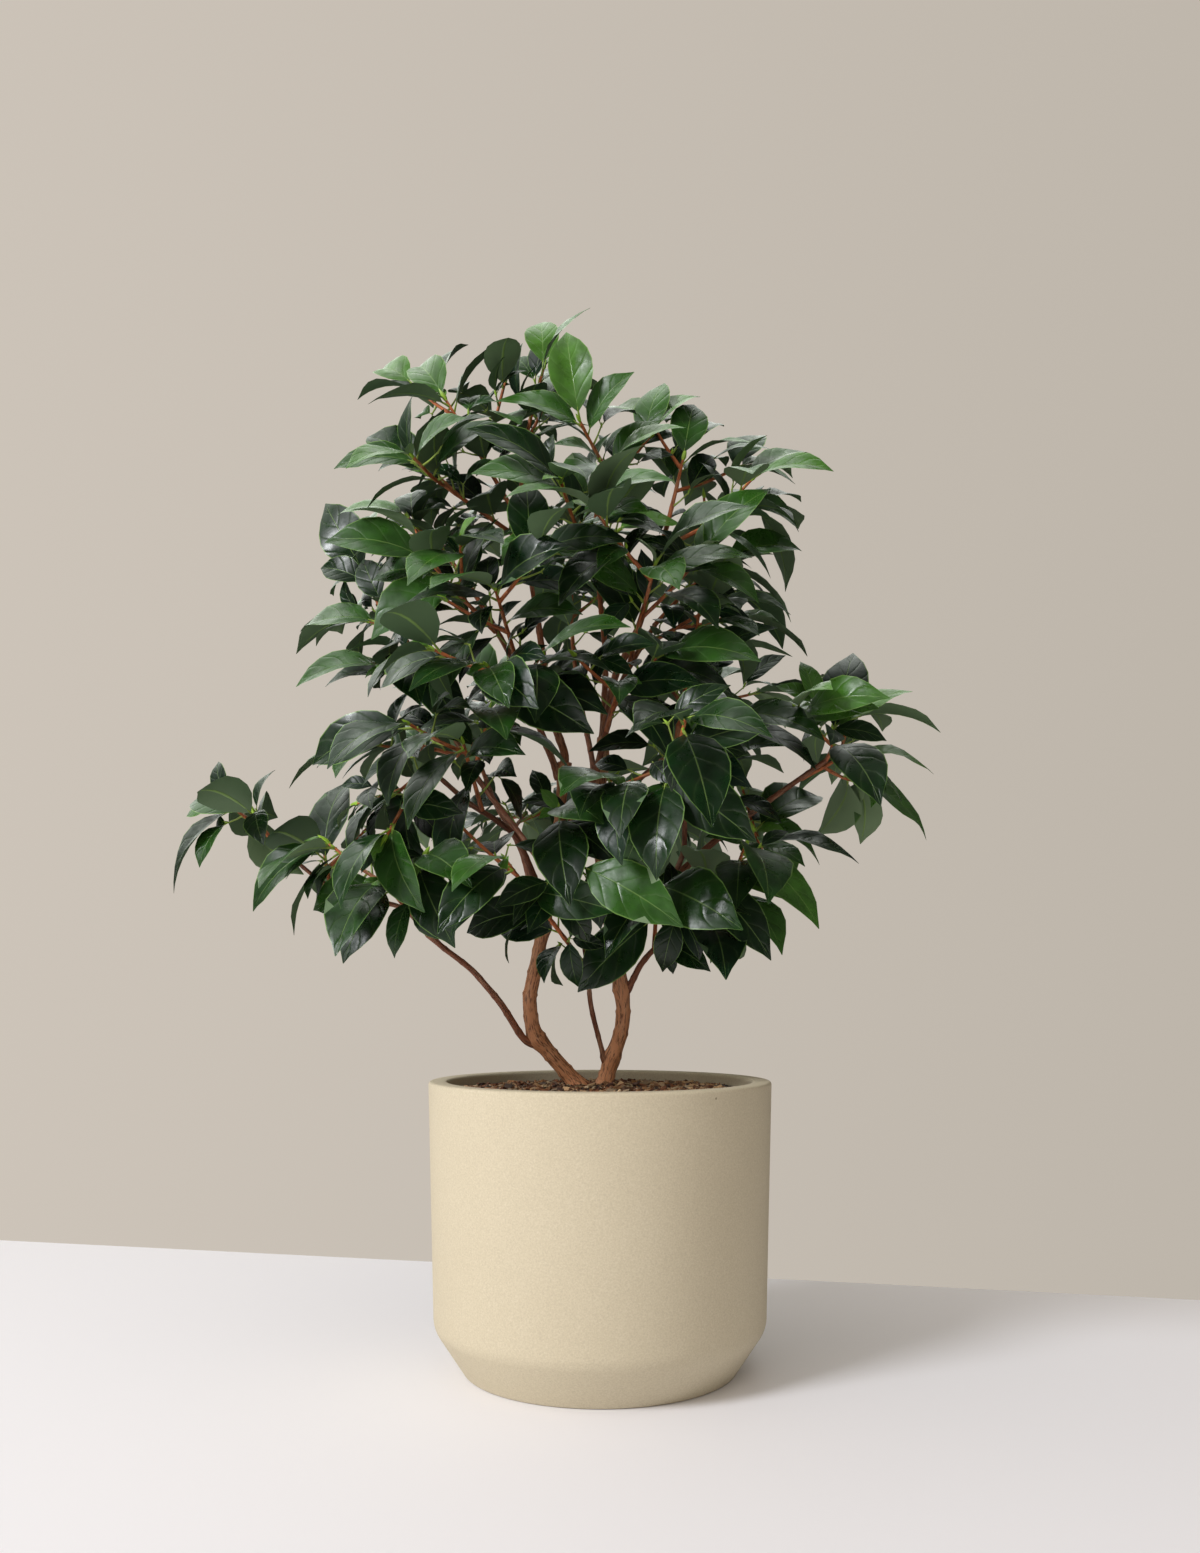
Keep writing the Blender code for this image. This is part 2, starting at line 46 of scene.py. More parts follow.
# The side that the leaves turn their faces to
lightFrom = Vector((-0.3, -0.9, 0.3))


def linear(hexColour):
    # sRGB hex to the linear colour that a shader takes
    parts = [int(hexColour[at:at + 2], 16) / 255 for at in (1, 3, 5)]
    return (*(p / 12.92 if p <= 0.04045 else ((p + 0.055) / 1.055) ** 2.4 for p in parts), 1)


def feed(tree, node, inputs):
    # inputs are plain values, or what feeds them: a socket, or a node's first output in use
    for name, value in inputs.items():
        if isinstance(value, bpy.types.Node):
            value = next(output for output in value.outputs if output.enabled)
        if isinstance(value, bpy.types.NodeSocket):
            tree.links.new(value, node.inputs[name])
        else:
            node.inputs[name].default_value = value


def addNode(tree, kind, inputs=None, stops=(), **settings):
    # stops are a colour ramp's (place, hex)
    made = tree.nodes.new("ShaderNode" + kind)
    for name, value in settings.items():
        setattr(made, name, value)
    for extra in stops[2:]:
        made.color_ramp.elements.new(0.5)
    for element, (place, hexColour) in zip(made.color_ramp.elements if stops else (), stops):
        element.position = place
        element.color = linear(hexColour)
    feed(tree, made, inputs or {})
    return made


def newMaterial(name):
    made = bpy.data.materials.new(name)
    made.use_nodes = True
    tree = made.node_tree
    return made, tree, tree.nodes["Principled BSDF"]


def shadeBy(tree, colour, factor, least, most, start=0, end=1):
    # a colour made darker and lighter as the factor goes from start to end
    shade = addNode(tree, "MapRange", {"Value": factor, "From Min": start, "From Max": end,
                                       "To Min": least, "To Max": most})
    return addNode(tree, "VectorMath", {0: colour, "Scale": shade}, operation="SCALE")


def meshPiece(name, points, faces, materials, smooth=True):
    mesh = bpy.data.meshes.new(name)
    mesh.from_pydata([tuple(point) for point in points], [], faces)
    made = bpy.data.objects.new(name, mesh)
    bpy.context.scene.collection.objects.link(made)
    for each in materials:
        mesh.materials.append(each)
    if smooth:
        mesh.shade_smooth()
        mesh.set_sharp_from_angle(angle=math.radians(60))
    return made


def handOver(piece, replaced=()):
    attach(piece, "root")
    if replaced:
        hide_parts(*replaced)


class Joined:
    # one mesh gathered from many small ones, with the values that its points carry
    def __init__(self):
        self.points, self.faces, self.slots = [], [], []
        self.values = {}

    def add(self, points, faces, slots=0, **values):
        first = len(self.points)
        self.points += [tuple(point) for point in points]
        self.faces += [tuple(first + corner for corner in face) for face in faces]
        self.slots += slots if isinstance(slots, list) else [slots] * len(faces)
        for name, value in values.items():
            filled = value if isinstance(value, list) else [value] * len(points)
            self.values.setdefault(name, []).extend(filled)

    def finish(self, name, materials, slot, replaced=(), smooth=True):
        piece = meshPiece(name, self.points, self.faces, materials, smooth)
        piece.data.polygons.foreach_set("material_index", self.slots)
        uvs = self.values.pop("uv", None)
        for key, value in self.values.items():
            isVector = isinstance(value[0], tuple)
            kind, field = ("FLOAT_VECTOR", "vector") if isVector else ("FLOAT", "value")
            flat = np.array(value, float).ravel()
            piece.data.attributes.new(key, kind, "POINT").data.foreach_set(field, flat)
        if uvs:
            corners = np.empty(len(piece.data.loops), int)
            piece.data.loops.foreach_get("vertex_index", corners)
            layer = piece.data.uv_layers.new(name="leaf")
            layer.data.foreach_set("uv", np.array(uvs, float)[corners].ravel())
        handOver(piece, replaced)


def deselectAll():
    for each in bpy.context.selected_objects:
        each.select_set(False)


def extrudeSteps(steps):
    # raise the chosen face step by step, each (rise, scale)
    for rise, scale in steps:
        bpy.ops.mesh.extrude_region_move(TRANSFORM_OT_translate={"value": (0, 0, rise)})
        bpy.ops.transform.resize(value=(scale, scale, 1))


# Camera, looking level from a little above the pot's rim, its frame shifted up to take in the crown
camera = {"distance": 0.9156, "height": 0.2641, "lens": 30.09, "sensor": 36, "shift": 0.1386}


def makeCamera():
    data = bpy.data.cameras.new("camera")
    data.sensor_fit = "AUTO"
    data.sensor_width = camera["sensor"]
    data.lens = camera["lens"]
    data.shift_y = camera["shift"]
    eye = bpy.data.objects.new("camera", data)
    eye.location = (0, -camera["distance"], camera["height"])
    eye.rotation_euler = (math.radians(90), 0, 0)
    bpy.context.scene.collection.objects.link(eye)
    bpy.context.scene.camera = eye


# Stage: a pale table top whose back edge runs at a slant, a greige room whose seen wall is painted lighter on
# the left and darker on the right as painted light from the left, a warm fill from overhead and a bright
# panel that only shows as gloss
stage = {
    "edgeLeft": (-2.6, 0.92), "edgeRight": (3.0, -0.381), "front": -2.4, "table": "#eeeef3",
    # the seen wall's two colours: lighter on the left and darker on the right, as painted light from the left
    "wallLeft": "#cdc4b9", "wallRight": "#bdb5aa", "wallSpan": 0.45,
    "fill": "#fff4e6", "fillFrom": (-0.3, -0.36, 0.88), "fillLeast": 0.03, "fillMost": 0.98,
    "panel": "#f3f8f0", "panelFrom": (-0.25, 0.55, 0.79), "panelEdge": (0.66, 0.94),
    "panelLeast": 0.07, "panelMost": 2.4,
}
# One soft lamp, from the front left and above
lamp = {"at": (-2.68, -2.09, 2.45), "toward": (0, 0, 0.35), "size": 1.3, "watts": 118, "colour": "#fafbff"}


def makeStage():
    (leftX, leftY), (rightX, rightY) = stage["edgeLeft"], stage["edgeRight"]
    table, tree, shader = newMaterial("matteTableTop")
    feed(tree, shader, {"Base Color": linear(stage["table"]), "Roughness": 0.7})
    front = stage["front"]
    corners = [(leftX, front, 0), (rightX, front, 0), (rightX, rightY, 0), (leftX, leftY, 0)]
    top = meshPiece("tableTop", corners, [(0, 1, 2, 3)], [table], smooth=False)
    world = bpy.data.worlds.new("room")
    bpy.context.scene.world = world
    world.use_nodes = True
    tree = world.node_tree
    tree.nodes.clear()
    way = addNode(tree, "TexCoord").outputs["Generated"]
    side = addNode(tree, "SeparateXYZ", {"Vector": way})
    span = stage["wallSpan"]
    # painted light: the seen wall goes from lighter on the left to darker on the right, as the light falls
    # from the left
    across = addNode(tree, "MapRange", {"Value": side, "From Min": -span, "From Max": span})
    wall = addNode(tree, "Mix", {"Factor": across, "A": linear(stage["wallLeft"]),
                                 "B": linear(stage["wallRight"])}, data_type="RGBA")
    seen = addNode(tree, "Background", {"Color": wall, "Strength": 1})
    path = addNode(tree, "LightPath")
    glossy = path.outputs["Is Glossy Ray"]
    toward = addNode(tree, "VectorMath", {0: way, 1: stage["fillFrom"]}, operation="DOT_PRODUCT")
    lit = addNode(tree, "MapRange", {"Value": toward, "From Min": 0, "To Min": stage["fillLeast"],
                                     "To Max": stage["fillMost"]})
    facing = addNode(tree, "VectorMath", {0: way, 1: stage["panelFrom"]}, operation="DOT_PRODUCT")
    dim, bright = stage["panelEdge"]
    panel = addNode(tree, "MapRange", {"Value": facing, "From Min": dim, "From Max": bright,
                                       "To Min": stage["panelLeast"], "To Max": stage["panelMost"]},
                    interpolation_type="SMOOTHSTEP")
    strength = addNode(tree, "Mix", {"Factor": glossy, "A": lit, "B": panel})
    tint = addNode(tree, "Mix", {"Factor": glossy, "A": linear(stage["fill"]),
                                 "B": linear(stage["panel"])}, data_type="RGBA")
    fill = addNode(tree, "Background", {"Color": tint, "Strength": strength})
    both = addNode(tree, "MixShader", {"Fac": path.outputs["Is Camera Ray"], 1: fill, 2: seen})
    addNode(tree, "OutputWorld", {"Surface": both})
    data = bpy.data.lights.new("key", "AREA")
    data.shape = "DISK"
    data.size = lamp["size"]
    data.energy = lamp["watts"]
    data.color = linear(lamp["colour"])[:3]
    key = bpy.data.objects.new("key", data)
    key.location = lamp["at"]
    key.rotation_euler = (Vector(lamp["toward"]) - key.location).to_track_quat("-Z", "Y").to_euler()
    bpy.context.scene.collection.objects.link(key)
    bpy.context.scene.view_settings.view_transform = "Standard"


makeCamera()
makeStage()
print("camera, table and lamp ready")

# Pot: fine cast stone with a bevelled foot and rounded rim, turned smooth
pot = {
    "sides": 144, "rimRadius": 120, "rimHeight": 202, "ridgeRadius": 116.4, "ridgeHeight": 32.3,
    "footRadius": 95.5, "wall": 13.3, "floor": 14, "rimRound": 2.2, "ridgeRound": 5, "footRound": 1.5,
    # the pinholes take a darker colour, painted shade for the inside of each hole
    "stone": [(0.3, "#c3b8a0"), (0.5, "#cdc2a8"), (0.7, "#d6ccb5")], "pinhole": "#8d8169",
}


def castStone():
    # cast stone: cement and fine marble sand from a mould, matte, with sand grains and a few pinholes, dipped
    # in the bump and darkened as painted shade inside them
    made, tree, shader = newMaterial("castStone")
    place = addNode(tree, "TexCoord").outputs["Object"]
    sand = addNode(tree, "TexNoise", {"Vector": place, "Scale": 900, "Detail": 3, "Roughness": 0.7})
    cloud = addNode(tree, "TexNoise", {"Vector": place, "Scale": 14, "Detail": 4, "Roughness": 0.6})
    faint = addNode(tree, "MapRange", {"Value": cloud, "To Min": -0.07, "To Max": 0.07})
    mixed = addNode(tree, "Math", {0: sand, 1: faint}, operation="ADD")
    stone = addNode(tree, "ValToRGB", {"Fac": mixed}, pot["stone"])
    cells = addNode(tree, "TexVoronoi", {"Vector": place, "Scale": 95, "Randomness": 1})
    chosen = addNode(tree, "Math", {0: cells.outputs["Color"], 1: 0.93}, operation="GREATER_THAN")
    close = addNode(tree, "Math", {0: cells.outputs["Distance"], 1: 0.075}, operation="LESS_THAN")
    hole = addNode(tree, "Math", {0: chosen, 1: close}, operation="MULTIPLY")
    # painted shade: each pinhole takes a darker colour for the shade inside it
    colour = addNode(tree, "Mix", {"Factor": hole, "A": stone, "B": linear(pot["pinhole"])}, data_type="RGBA")
    grit = addNode(tree, "Math", {0: sand, 1: hole}, operation="SUBTRACT")
    bump = addNode(tree, "Bump", {"Height": grit, "Distance": 0.3 * mm, "Strength": 0.5})
    feed(tree, shader, {"Base Color": colour, "Roughness": 0.82, "Specular IOR Level": 0.3, "Normal": bump})
    return made


def wallTaper():
    return (pot["rimRadius"] - pot["ridgeRadius"]) / (pot["rimHeight"] - pot["ridgeHeight"])


def selectRing(mesh, height, radius):
    # the ring edges at this height and radius of the piece being shaped
    near = 0.05 * mm
    for edge in mesh.edges:
        edge.select = all(
            abs(v.co.z - height) < near and abs(math.hypot(v.co.x, v.co.y) - radius) < near
            for v in edge.verts
        )
    mesh.select_flush_mode()


def makePot():
    deselectAll()
    foot = pot["footRadius"] * mm
    inside = (pot["rimRadius"] - pot["wall"]) * mm
    taper = wallTaper()
    drop = (pot["rimHeight"] - pot["ridgeHeight"]) * mm
    innerFoot = inside - taper * drop
    floorEdge = (pot["ridgeRadius"] - 2 * pot["wall"] - taper * (pot["ridgeHeight"] - pot["floor"])) * mm
    bpy.ops.mesh.primitive_circle_add(vertices=pot["sides"], radius=foot, fill_type="NGON")
    piece = bpy.context.object
    piece.name = piece.data.name = "castStonePot"
    bpy.ops.object.mode_set(mode="EDIT")
    bpy.ops.mesh.select_all(action="SELECT")
    # up the foot's bevel, up the wall, across the lip, then down inside to the floor
    extrudeSteps([
        (pot["ridgeHeight"] * mm, pot["ridgeRadius"] * mm / foot),
        (drop, pot["rimRadius"] / pot["ridgeRadius"]),
        (0, inside / (pot["rimRadius"] * mm)),
        (-drop, innerFoot / inside),
        (-(pot["ridgeHeight"] - pot["floor"]) * mm, floorEdge / innerFoot),
    ])
    bpy.ops.mesh.select_all(action="DESELECT")
    bpy.ops.mesh.select_mode(type="EDGE")
    rings = [
        (pot["rimHeight"], pot["rimRadius"], pot["rimRound"]),
        (pot["rimHeight"], pot["rimRadius"] - pot["wall"], pot["rimRound"]),
        (pot["ridgeHeight"], pot["ridgeRadius"], pot["ridgeRound"]),
        (0, pot["footRadius"], pot["footRound"]),
    ]
    for height, radius, width in rings:
        mesh = bmesh.from_edit_mesh(piece.data)
        selectRing(mesh, height * mm, radius * mm)
        bmesh.update_edit_mesh(piece.data)
        bpy.ops.mesh.bevel(offset=width * mm, segments=5, affect="EDGES")
        bpy.ops.mesh.select_all(action="DESELECT")
    bpy.ops.mesh.select_mode(type="FACE")
    bpy.ops.mesh.select_all(action="SELECT")
    bpy.ops.mesh.normals_make_consistent(inside=False)
    bpy.ops.object.mode_set(mode="OBJECT")
    bpy.ops.object.shade_smooth_by_angle(angle=math.radians(30))
    piece.data.materials.append(castStone())
    handOver(piece, ["pot"])
    print("pot shaped:", len(piece.data.polygons), "faces")


makePot()

# Soil: damp bark-based potting mix, heaped a little round the stems (mm)
soil = {
    "top": 195.5, "relief": 2.2, "coarse": (55, 0.6), "fine": (190, 0.5), "lower": 0.8, "rings": 34,
    "sides": 150, "stemsAt": (-4, 19), "heap": 3.5, "heapReach": 24, "clear": 0.3, "footShare": 0.72,
    "seed": 7,
    "mix": [(0.3, "#150d0a"), (0.5, "#241610"), (0.7, "#3b261b")],
}
# What is strewn on it: how many, their sizes (mm), their flatness and how high they stand out of it
strewn = {
    "barkChips": (900, (2, 8), 0.28, 0.5),
    "soilCrumbs": (3800, (0.9, 2.6), 0.6, 0.3),
}
# How each bit departs from a square: its width and thickness, how far its corners are pulled, its tilt
chipShape = {"width": (0.35, 0.8), "height": (0.6, 1.3), "pulled": (-0.45, 0.15), "tilt": 0.6, "roll": 0.5}
chipTones = ["#9a5f38", "#4d2f1f", "#b98657", "#33201a", "#7a4a2e", "#d8b184", "#3f281d", "#e2c7a0"]


def pottingMix():
    # composted bark and peat, damp: dark and matte, in soft crumbs a few millimetres wide
    made, tree, shader = newMaterial("pottingMix")
    place = addNode(tree, "TexCoord").outputs["Object"]
    crumbs = addNode(tree, "TexVoronoi", {"Vector": place, "Scale": 380})
    fine = addNode(tree, "TexNoise", {"Vector": place, "Scale": 240, "Detail": 5, "Roughness": 0.7})
    colour = addNode(tree, "ValToRGB", {"Fac": fine}, soil["mix"])
    height = addNode(tree, "Math", {0: fine, 1: crumbs}, operation="SUBTRACT")
    bump = addNode(tree, "Bump", {"Height": height, "Distance": 1.5 * mm, "Strength": 0.9})
    feed(tree, shader, {"Base Color": colour, "Roughness": 0.93, "Normal": bump})
    return made


def barkChips():
    # torn pine bark: each chip has its own tone, from grey brown to orange
    made, tree, shader = newMaterial("barkChips")
    tone = addNode(tree, "Attribute", attribute_name="tone").outputs["Fac"]
    stops = [(at / (len(chipTones) - 1), hexColour) for at, hexColour in enumerate(chipTones)]
    base = addNode(tree, "ValToRGB", {"Fac": tone}, stops)
    place = addNode(tree, "TexCoord").outputs["Object"]
    fibre = addNode(tree, "TexNoise", {"Vector": place, "Scale": 500, "Detail": 3})
    bump = addNode(tree, "Bump", {"Height": fibre, "Distance": 0.5 * mm, "Strength": 0.6})
    feed(tree, shader, {"Base Color": shadeBy(tree, base, fibre, 0.55, 1.25), "Roughness": 0.85,
                        "Normal": bump})
    return made


def soilRise(x, y):
    # the height of the soil's face above its level, heaped round the stems
    stemX, stemY = soil["stemsAt"]
    away = math.hypot(x / mm - stemX, y / mm - stemY)
    heap = soil["heap"] * math.exp(-((away / soil["heapReach"]) ** 2))
    (wide, most), (narrow, least) = soil["coarse"], soil["fine"]
    coarse = most * noise.noise(Vector((x, y, 0)) * wide)
    fine = least * noise.noise(Vector((x, y, 3)) * narrow)
    return (heap + soil["relief"] * (coarse + fine) - soil["lower"]) * mm


def soilRadius():
    drop = pot["rimHeight"] - soil["top"]
    return (pot["rimRadius"] - pot["wall"] - wallTaper() * drop) * mm - 2 * gap


def makeSoil():
    deselectAll()
    radius = soilRadius()
    low = (pot["floor"] + soil["clear"]) * mm
    foot = soil["footShare"] * radius
    bpy.ops.mesh.primitive_circle_add(vertices=soil["sides"], radius=foot, fill_type="NGON",
                                      location=(0, 0, low))
    piece = bpy.context.object
    piece.name = piece.data.name = "pottingSoil"
    bpy.ops.object.transform_apply(location=True)
    bpy.ops.object.mode_set(mode="EDIT")
    bpy.ops.mesh.select_all(action="SELECT")
    ridge = (pot["ridgeRadius"] - pot["wall"]) * mm - 2 * gap
    extrudeSteps([
        (pot["ridgeHeight"] * mm - low, ridge / foot),
        ((soil["top"] - pot["ridgeHeight"]) * mm, radius / ridge),
    ])
    for step in range(soil["rings"]):
        bpy.ops.mesh.inset(thickness=0.97 * radius / soil["rings"])
    bpy.ops.mesh.poke()
    bpy.ops.mesh.select_all(action="SELECT")
    bpy.ops.mesh.normals_make_consistent(inside=False)
    bpy.ops.object.mode_set(mode="OBJECT")
    edge = 0.6 * mm
    for vertex in piece.data.vertices:
        x, y, z = vertex.co
        if z > soil["top"] * mm - edge:
            vertex.co.z += soilRise(x, y)
    piece.data.shade_smooth()
    piece.data.materials.append(pottingMix())
    handOver(piece, ["soil"])


def scatter(name, count, sizes, flatness, standing, material, dice):
    # angular bits strewn on the soil: a box each, its corners pulled about, turned at random
    corners = np.array([(x, y, z) for z in (-1, 1) for x, y in ((-1, -1), (1, -1), (1, 1), (-1, 1))], float)
    boxFaces = [(3, 2, 1, 0), (4, 5, 6, 7), (0, 1, 5, 4), (1, 2, 6, 5), (2, 3, 7, 6), (3, 0, 4, 7)]
    bits = Joined()
    reach = soilRadius() - max(sizes) * mm
    for index in range(count):
        away = reach * math.sqrt(dice.random())
        turn = dice.uniform(0, math.tau)
        x, y = away * math.cos(turn), away * math.sin(turn)
        size = dice.uniform(*sizes) * mm / 2
        width = size * dice.uniform(*chipShape["width"])
        shape = corners * (size, width, size * flatness * dice.uniform(*chipShape["height"]))
        pulls = [dice.uniform(*chipShape["pulled"]) for each in range(corners.size)]
        shape *= 1 + np.reshape(pulls, corners.shape)
        tilt, roll = chipShape["tilt"], chipShape["roll"]
        turned = Matrix.Rotation(dice.uniform(0, math.tau), 3, "Z")
        tipped = Matrix.Rotation(dice.uniform(-tilt, tilt), 3, "Y")
        rolled = Matrix.Rotation(dice.uniform(-roll, roll), 3, "X")
        shape = shape @ np.array(turned @ rolled @ tipped).T
        z = soil["top"] * mm + soilRise(x, y) + size * flatness * standing
        bits.add(shape + (x, y, z), boxFaces, tone=dice.random())
    bits.finish(name, [material], "potting_soil", smooth=False)


makeSoil()
soilDice = random.Random(soil["seed"])
chips = barkChips()
for name, facts in strewn.items():
    scatter(name, *facts, chips, soilDice)
print("soil, chips and crumbs laid")

# Limbs: each one's carrier, how far along that it leaves, the places it passes (mm), and its radius
# at the foot and the tip (mm)
limbSizes = {
    "left_trunk": (None, 0, [(-15, 18, 196), (-47, 10, 235), (-50, 8, 257), (-42, 4, 299),
                             (-31, -2, 358), (-25, -4, 425)], 5.6, 3.4),
    "right_trunk": (None, 0, [(3, 20, 196), (9, 15, 218), (16, 10, 242), (14, 6, 275), (0, 0, 364),
                              (3, 6, 444)], 5.4, 3.5),
    "centre_stem": ("right_trunk", 0.08, [(-6, 2, 252), (-11, -12, 296), (-23, -30, 350)], 1.9, 1.3),
    "left_low_bough": ("left_trunk", 0.19, [(-69, 4, 254), (-92, -2, 281), (-112, -8, 297),
                                            (-130, -26, 318)], 2.7, 1.7),
    "far_left_bough": ("left_low_bough", 0.83, [(-139, -2, 323), (-190, 0, 338), (-232, 0, 372)],
                       1.9, 1.3),
    "left_middle_bough": ("left_trunk", 0.6, [(-59, -18, 372), (-88, -40, 391), (-107, -50, 407)],
                          2.4, 1.6),
    "left_rising_bough": ("left_trunk", 0.68, [(-61, 20, 382), (-93, 26, 425), (-110, 20, 459),
                                               (-138, 0, 515)], 2.3, 1.5),
    "left_leader": ("left_trunk", 0.96, [(-42, -10, 448), (-54, -22, 481), (-80, -38, 526)], 2.6, 1.7),
    "centre_leader": ("left_trunk", 1, [(-35, 0, 461), (-42, 4, 513), (-56, 8, 606)], 2.9, 1.9),
    "right_low_bough": ("right_trunk", 0.29, [(30, 0, 285), (42, -8, 297), (60, -16, 303)], 2.4, 1.7),
    "right_sprig": ("right_low_bough", 0.8, [(72, 0, 318), (96, 10, 337), (114, 12, 355)], 1.7, 1.3),
    "right_bough": ("right_trunk", 0.38, [(29, 12, 312), (52, 18, 343), (88, 18, 377),
                                          (160, 4, 428)], 3.1, 1.7),
    "right_inner_bough": ("right_bough", 0.34, [(59, 0, 364), (58, -20, 393), (52, -40, 434)],
                          2.0, 1.5),
    "right_middle_bough": ("right_trunk", 0.72, [(10, -14, 389), (25, -30, 407), (41, -44, 419)],
                           2.1, 1.6),
    "right_leader": ("right_trunk", 1, [(11, 4, 488), (27, 0, 521), (47, -10, 590)], 2.9, 1.8),
    "middle_leader": ("right_trunk", 0.93, [(4, 26, 501), (1, 32, 541), (-4, 26, 596)], 2.4, 1.6),
    "cross_bough": ("left_trunk", 0.8, [(-4, -16, 413), (3, -24, 439), (17, -20, 482),
                                        (39, 4, 524)], 2.6, 1.7),
    "back_left_bough": ("left_trunk", 0.52, [(-58, 38, 368), (-78, 66, 404), (-88, 86, 428)],
                        2.4, 1.6),
    "back_right_bough": ("right_trunk", 0.56, [(30, 42, 380), (50, 68, 412), (62, 88, 436)],
                         2.4, 1.6),
    "back_middle_bough": ("right_trunk", 0.8, [(-6, 40, 436), (-14, 66, 480), (-20, 84, 520)],
                          2.4, 1.6),
}
# Bark: the steps and sides of its mesh, its collars, flare, forks and knots, its relief (mm and
# shares of the radius), and its colours by age and by height
bark = {
    "trunkStep": 15, "boughStep": 22, "collar": 8, "leastLeaving": 0.45, "meshStep": 2.2,
    "trunkSides": 22, "boughSides": 12, "shapeSides": (8, 6), "flare": 0.4, "flareReach": 14,
    "collarSwell": 0.35, "collarReach": 4, "forkSwell": 0.55, "forkReach": 7, "sunkUnder": 3,
    "sunkSide": 0.75, "sunkEnd": 0.6, "sunkTaper": 0.9, "underSpread": 1.1,
    "relief": 0.1, "ridge": 3.4, "stretch": 0.16, "knots": 16, "knotSwell": 0.13, "knotWidth": 0.09,
    "thin": 1.2, "thick": 4.2,
    "aged": [(0, "#c06a38"), (0.35, "#a35c36"), (1, "#db9a6d")], "crack": "#4c2a1b", "pale": "#edc5a2",
    # thin limbs are made darker towards the bottom of the plant: the colour, the height below which it
    # starts, over how far and how much
    "weathered": "#5f3d2d", "weatheredBelow": 560, "weatheredOver": 150, "weatheredMost": 0.85,
}


def curveThrough(places, step):
    ends = [2 * places[0] - places[1], *places, 2 * places[-1] - places[-2]]
    course = [places[0]]
    for before, start, end, after in zip(ends, ends[1:], ends[2:], ends[3:]):
        count = max(1, round((end - start).length / step))
        for index in range(1, count + 1):
            t = index / count
            course.append(
                0.5 * (2 * start + (end - before) * t + (2 * before - 5 * start + 4 * end - after) * t**2
                       + (3 * start - before - 3 * end + after) * t**3)
            )
    return course


def arch(start, heading, end, step):
    # leaves start along the heading and bends to reach the end
    span = (end - start).length
    bend = start + heading * span * 0.45
    count = max(2, round(span / step))
    return [
        (1 - t) ** 2 * start + 2 * t * (1 - t) * bend + t**2 * end
        for t in (index / count for index in range(count + 1))
    ]


def directions(course):
    found = [course[1] - course[0]]
    found += [after - before for before, after in zip(course, course[2:])]
    found.append(course[-1] - course[-2])
    return [way.normalized() for way in found]


def lengthOf(course):
    return sum((after - before).length for before, after in zip(course, course[1:]))


def placeAlong(course, along):
    lengths = [(after - before).length for before, after in zip(course, course[1:])]
    left = sum(lengths) * along
    for index, length in enumerate(lengths):
        if left <= length or index == len(lengths) - 1:
            way = (course[index + 1] - course[index]).normalized()
            return course[index] + way * min(left, length), way
        left -= length


def squareTo(way, direction):
    return (direction - way * direction.dot(way)).normalized()


def leaving(way, turn, rise, spread):
    # a heading that leaves the way at the angle spread, on the side that turn and rise give
    out = squareTo(way, Vector((math.cos(turn), math.sin(turn), rise)))
    return way * math.cos(spread) + out * math.sin(spread)


def ringBand(low, high, sides):
    found = []
    for side in range(sides):
        beside = (side + 1) % sides
        found.append((low + side, low + beside, high + beside, high + side))
    return found


def tubeFaces(count, sides):
    # the caps of the first and last ring of points, and the bands between
    last = count - sides
    faces = [tuple(reversed(range(sides))), tuple(range(last, count))]
    for low in range(0, last, sides):
        faces += ringBand(low, low + sides, sides)
    return faces


def framesAlong(course):
    # each place on a course with two directions square to its heading, turning as little as they can
    ways = directions(course)
    across = squareTo(ways[0], Vector((0.3, 1, 0.2)))
    for place, way in zip(course, ways):
        across = squareTo(way, across)
        yield place, across, way.cross(across)


def tube(course, radii, sides, footPlane=None):
    points = []
    for (place, across, other), radius in zip(framesAlong(course), radii):
        for side in range(sides):
            turn = math.tau * side / sides
            points.append(place + (across * math.cos(turn) + other * math.sin(turn)) * radius)
    if footPlane:
        heading = directions(course)[0]
        for side in range(sides):
            off = (points[side] - course[0]).dot(footPlane)
            points[side] = points[side] - heading * off / heading.dot(footPlane)
    return points, tubeFaces(len(points), sides)


class Limb:
    # a trunk or bough: its smooth course, its plain shape for the room tests, and what leaves it
    def __init__(self, name, course, footRadius, tipRadius, sides, footPlane=None, flare=0):
        self.name = name
        self.course = course
        self.footRadius = footRadius
        self.tipRadius = tipRadius
        self.forks = []  # how far along each child leaves, and that child's radius
        reach = 0
        radii = []
        length = lengthOf(course)
        for index, place in enumerate(course):
            reach += (place - course[index - 1]).length if index else 0
            swell = 1 + flare * max(0, 1 - reach / (bark["flareReach"] * mm)) ** 2
            radii.append(self.radius(reach / length) * swell)
        self.shape = tube(course, radii, sides, footPlane)

    def radius(self, along):
        return self.footRadius + (self.tipRadius - self.footRadius) * along

    def seat(self, along, toward):
        # a child's foot, the seat's normal and the child's heading
        centre, way = placeAlong(self.course, along)
        if along == 1:
            heading = (way + 0.6 * (toward - centre).normalized()).normalized()
            return centre + way * gap, way, heading
        normal = squareTo(way, toward - centre)
        foot = centre + normal * (self.radius(along) + gap)
        heading = (toward - foot).normalized()
        if heading.dot(normal) < bark["leastLeaving"]:
            heading = (squareTo(normal, heading) + normal * bark["leastLeaving"]).normalized()
        return foot, normal, heading


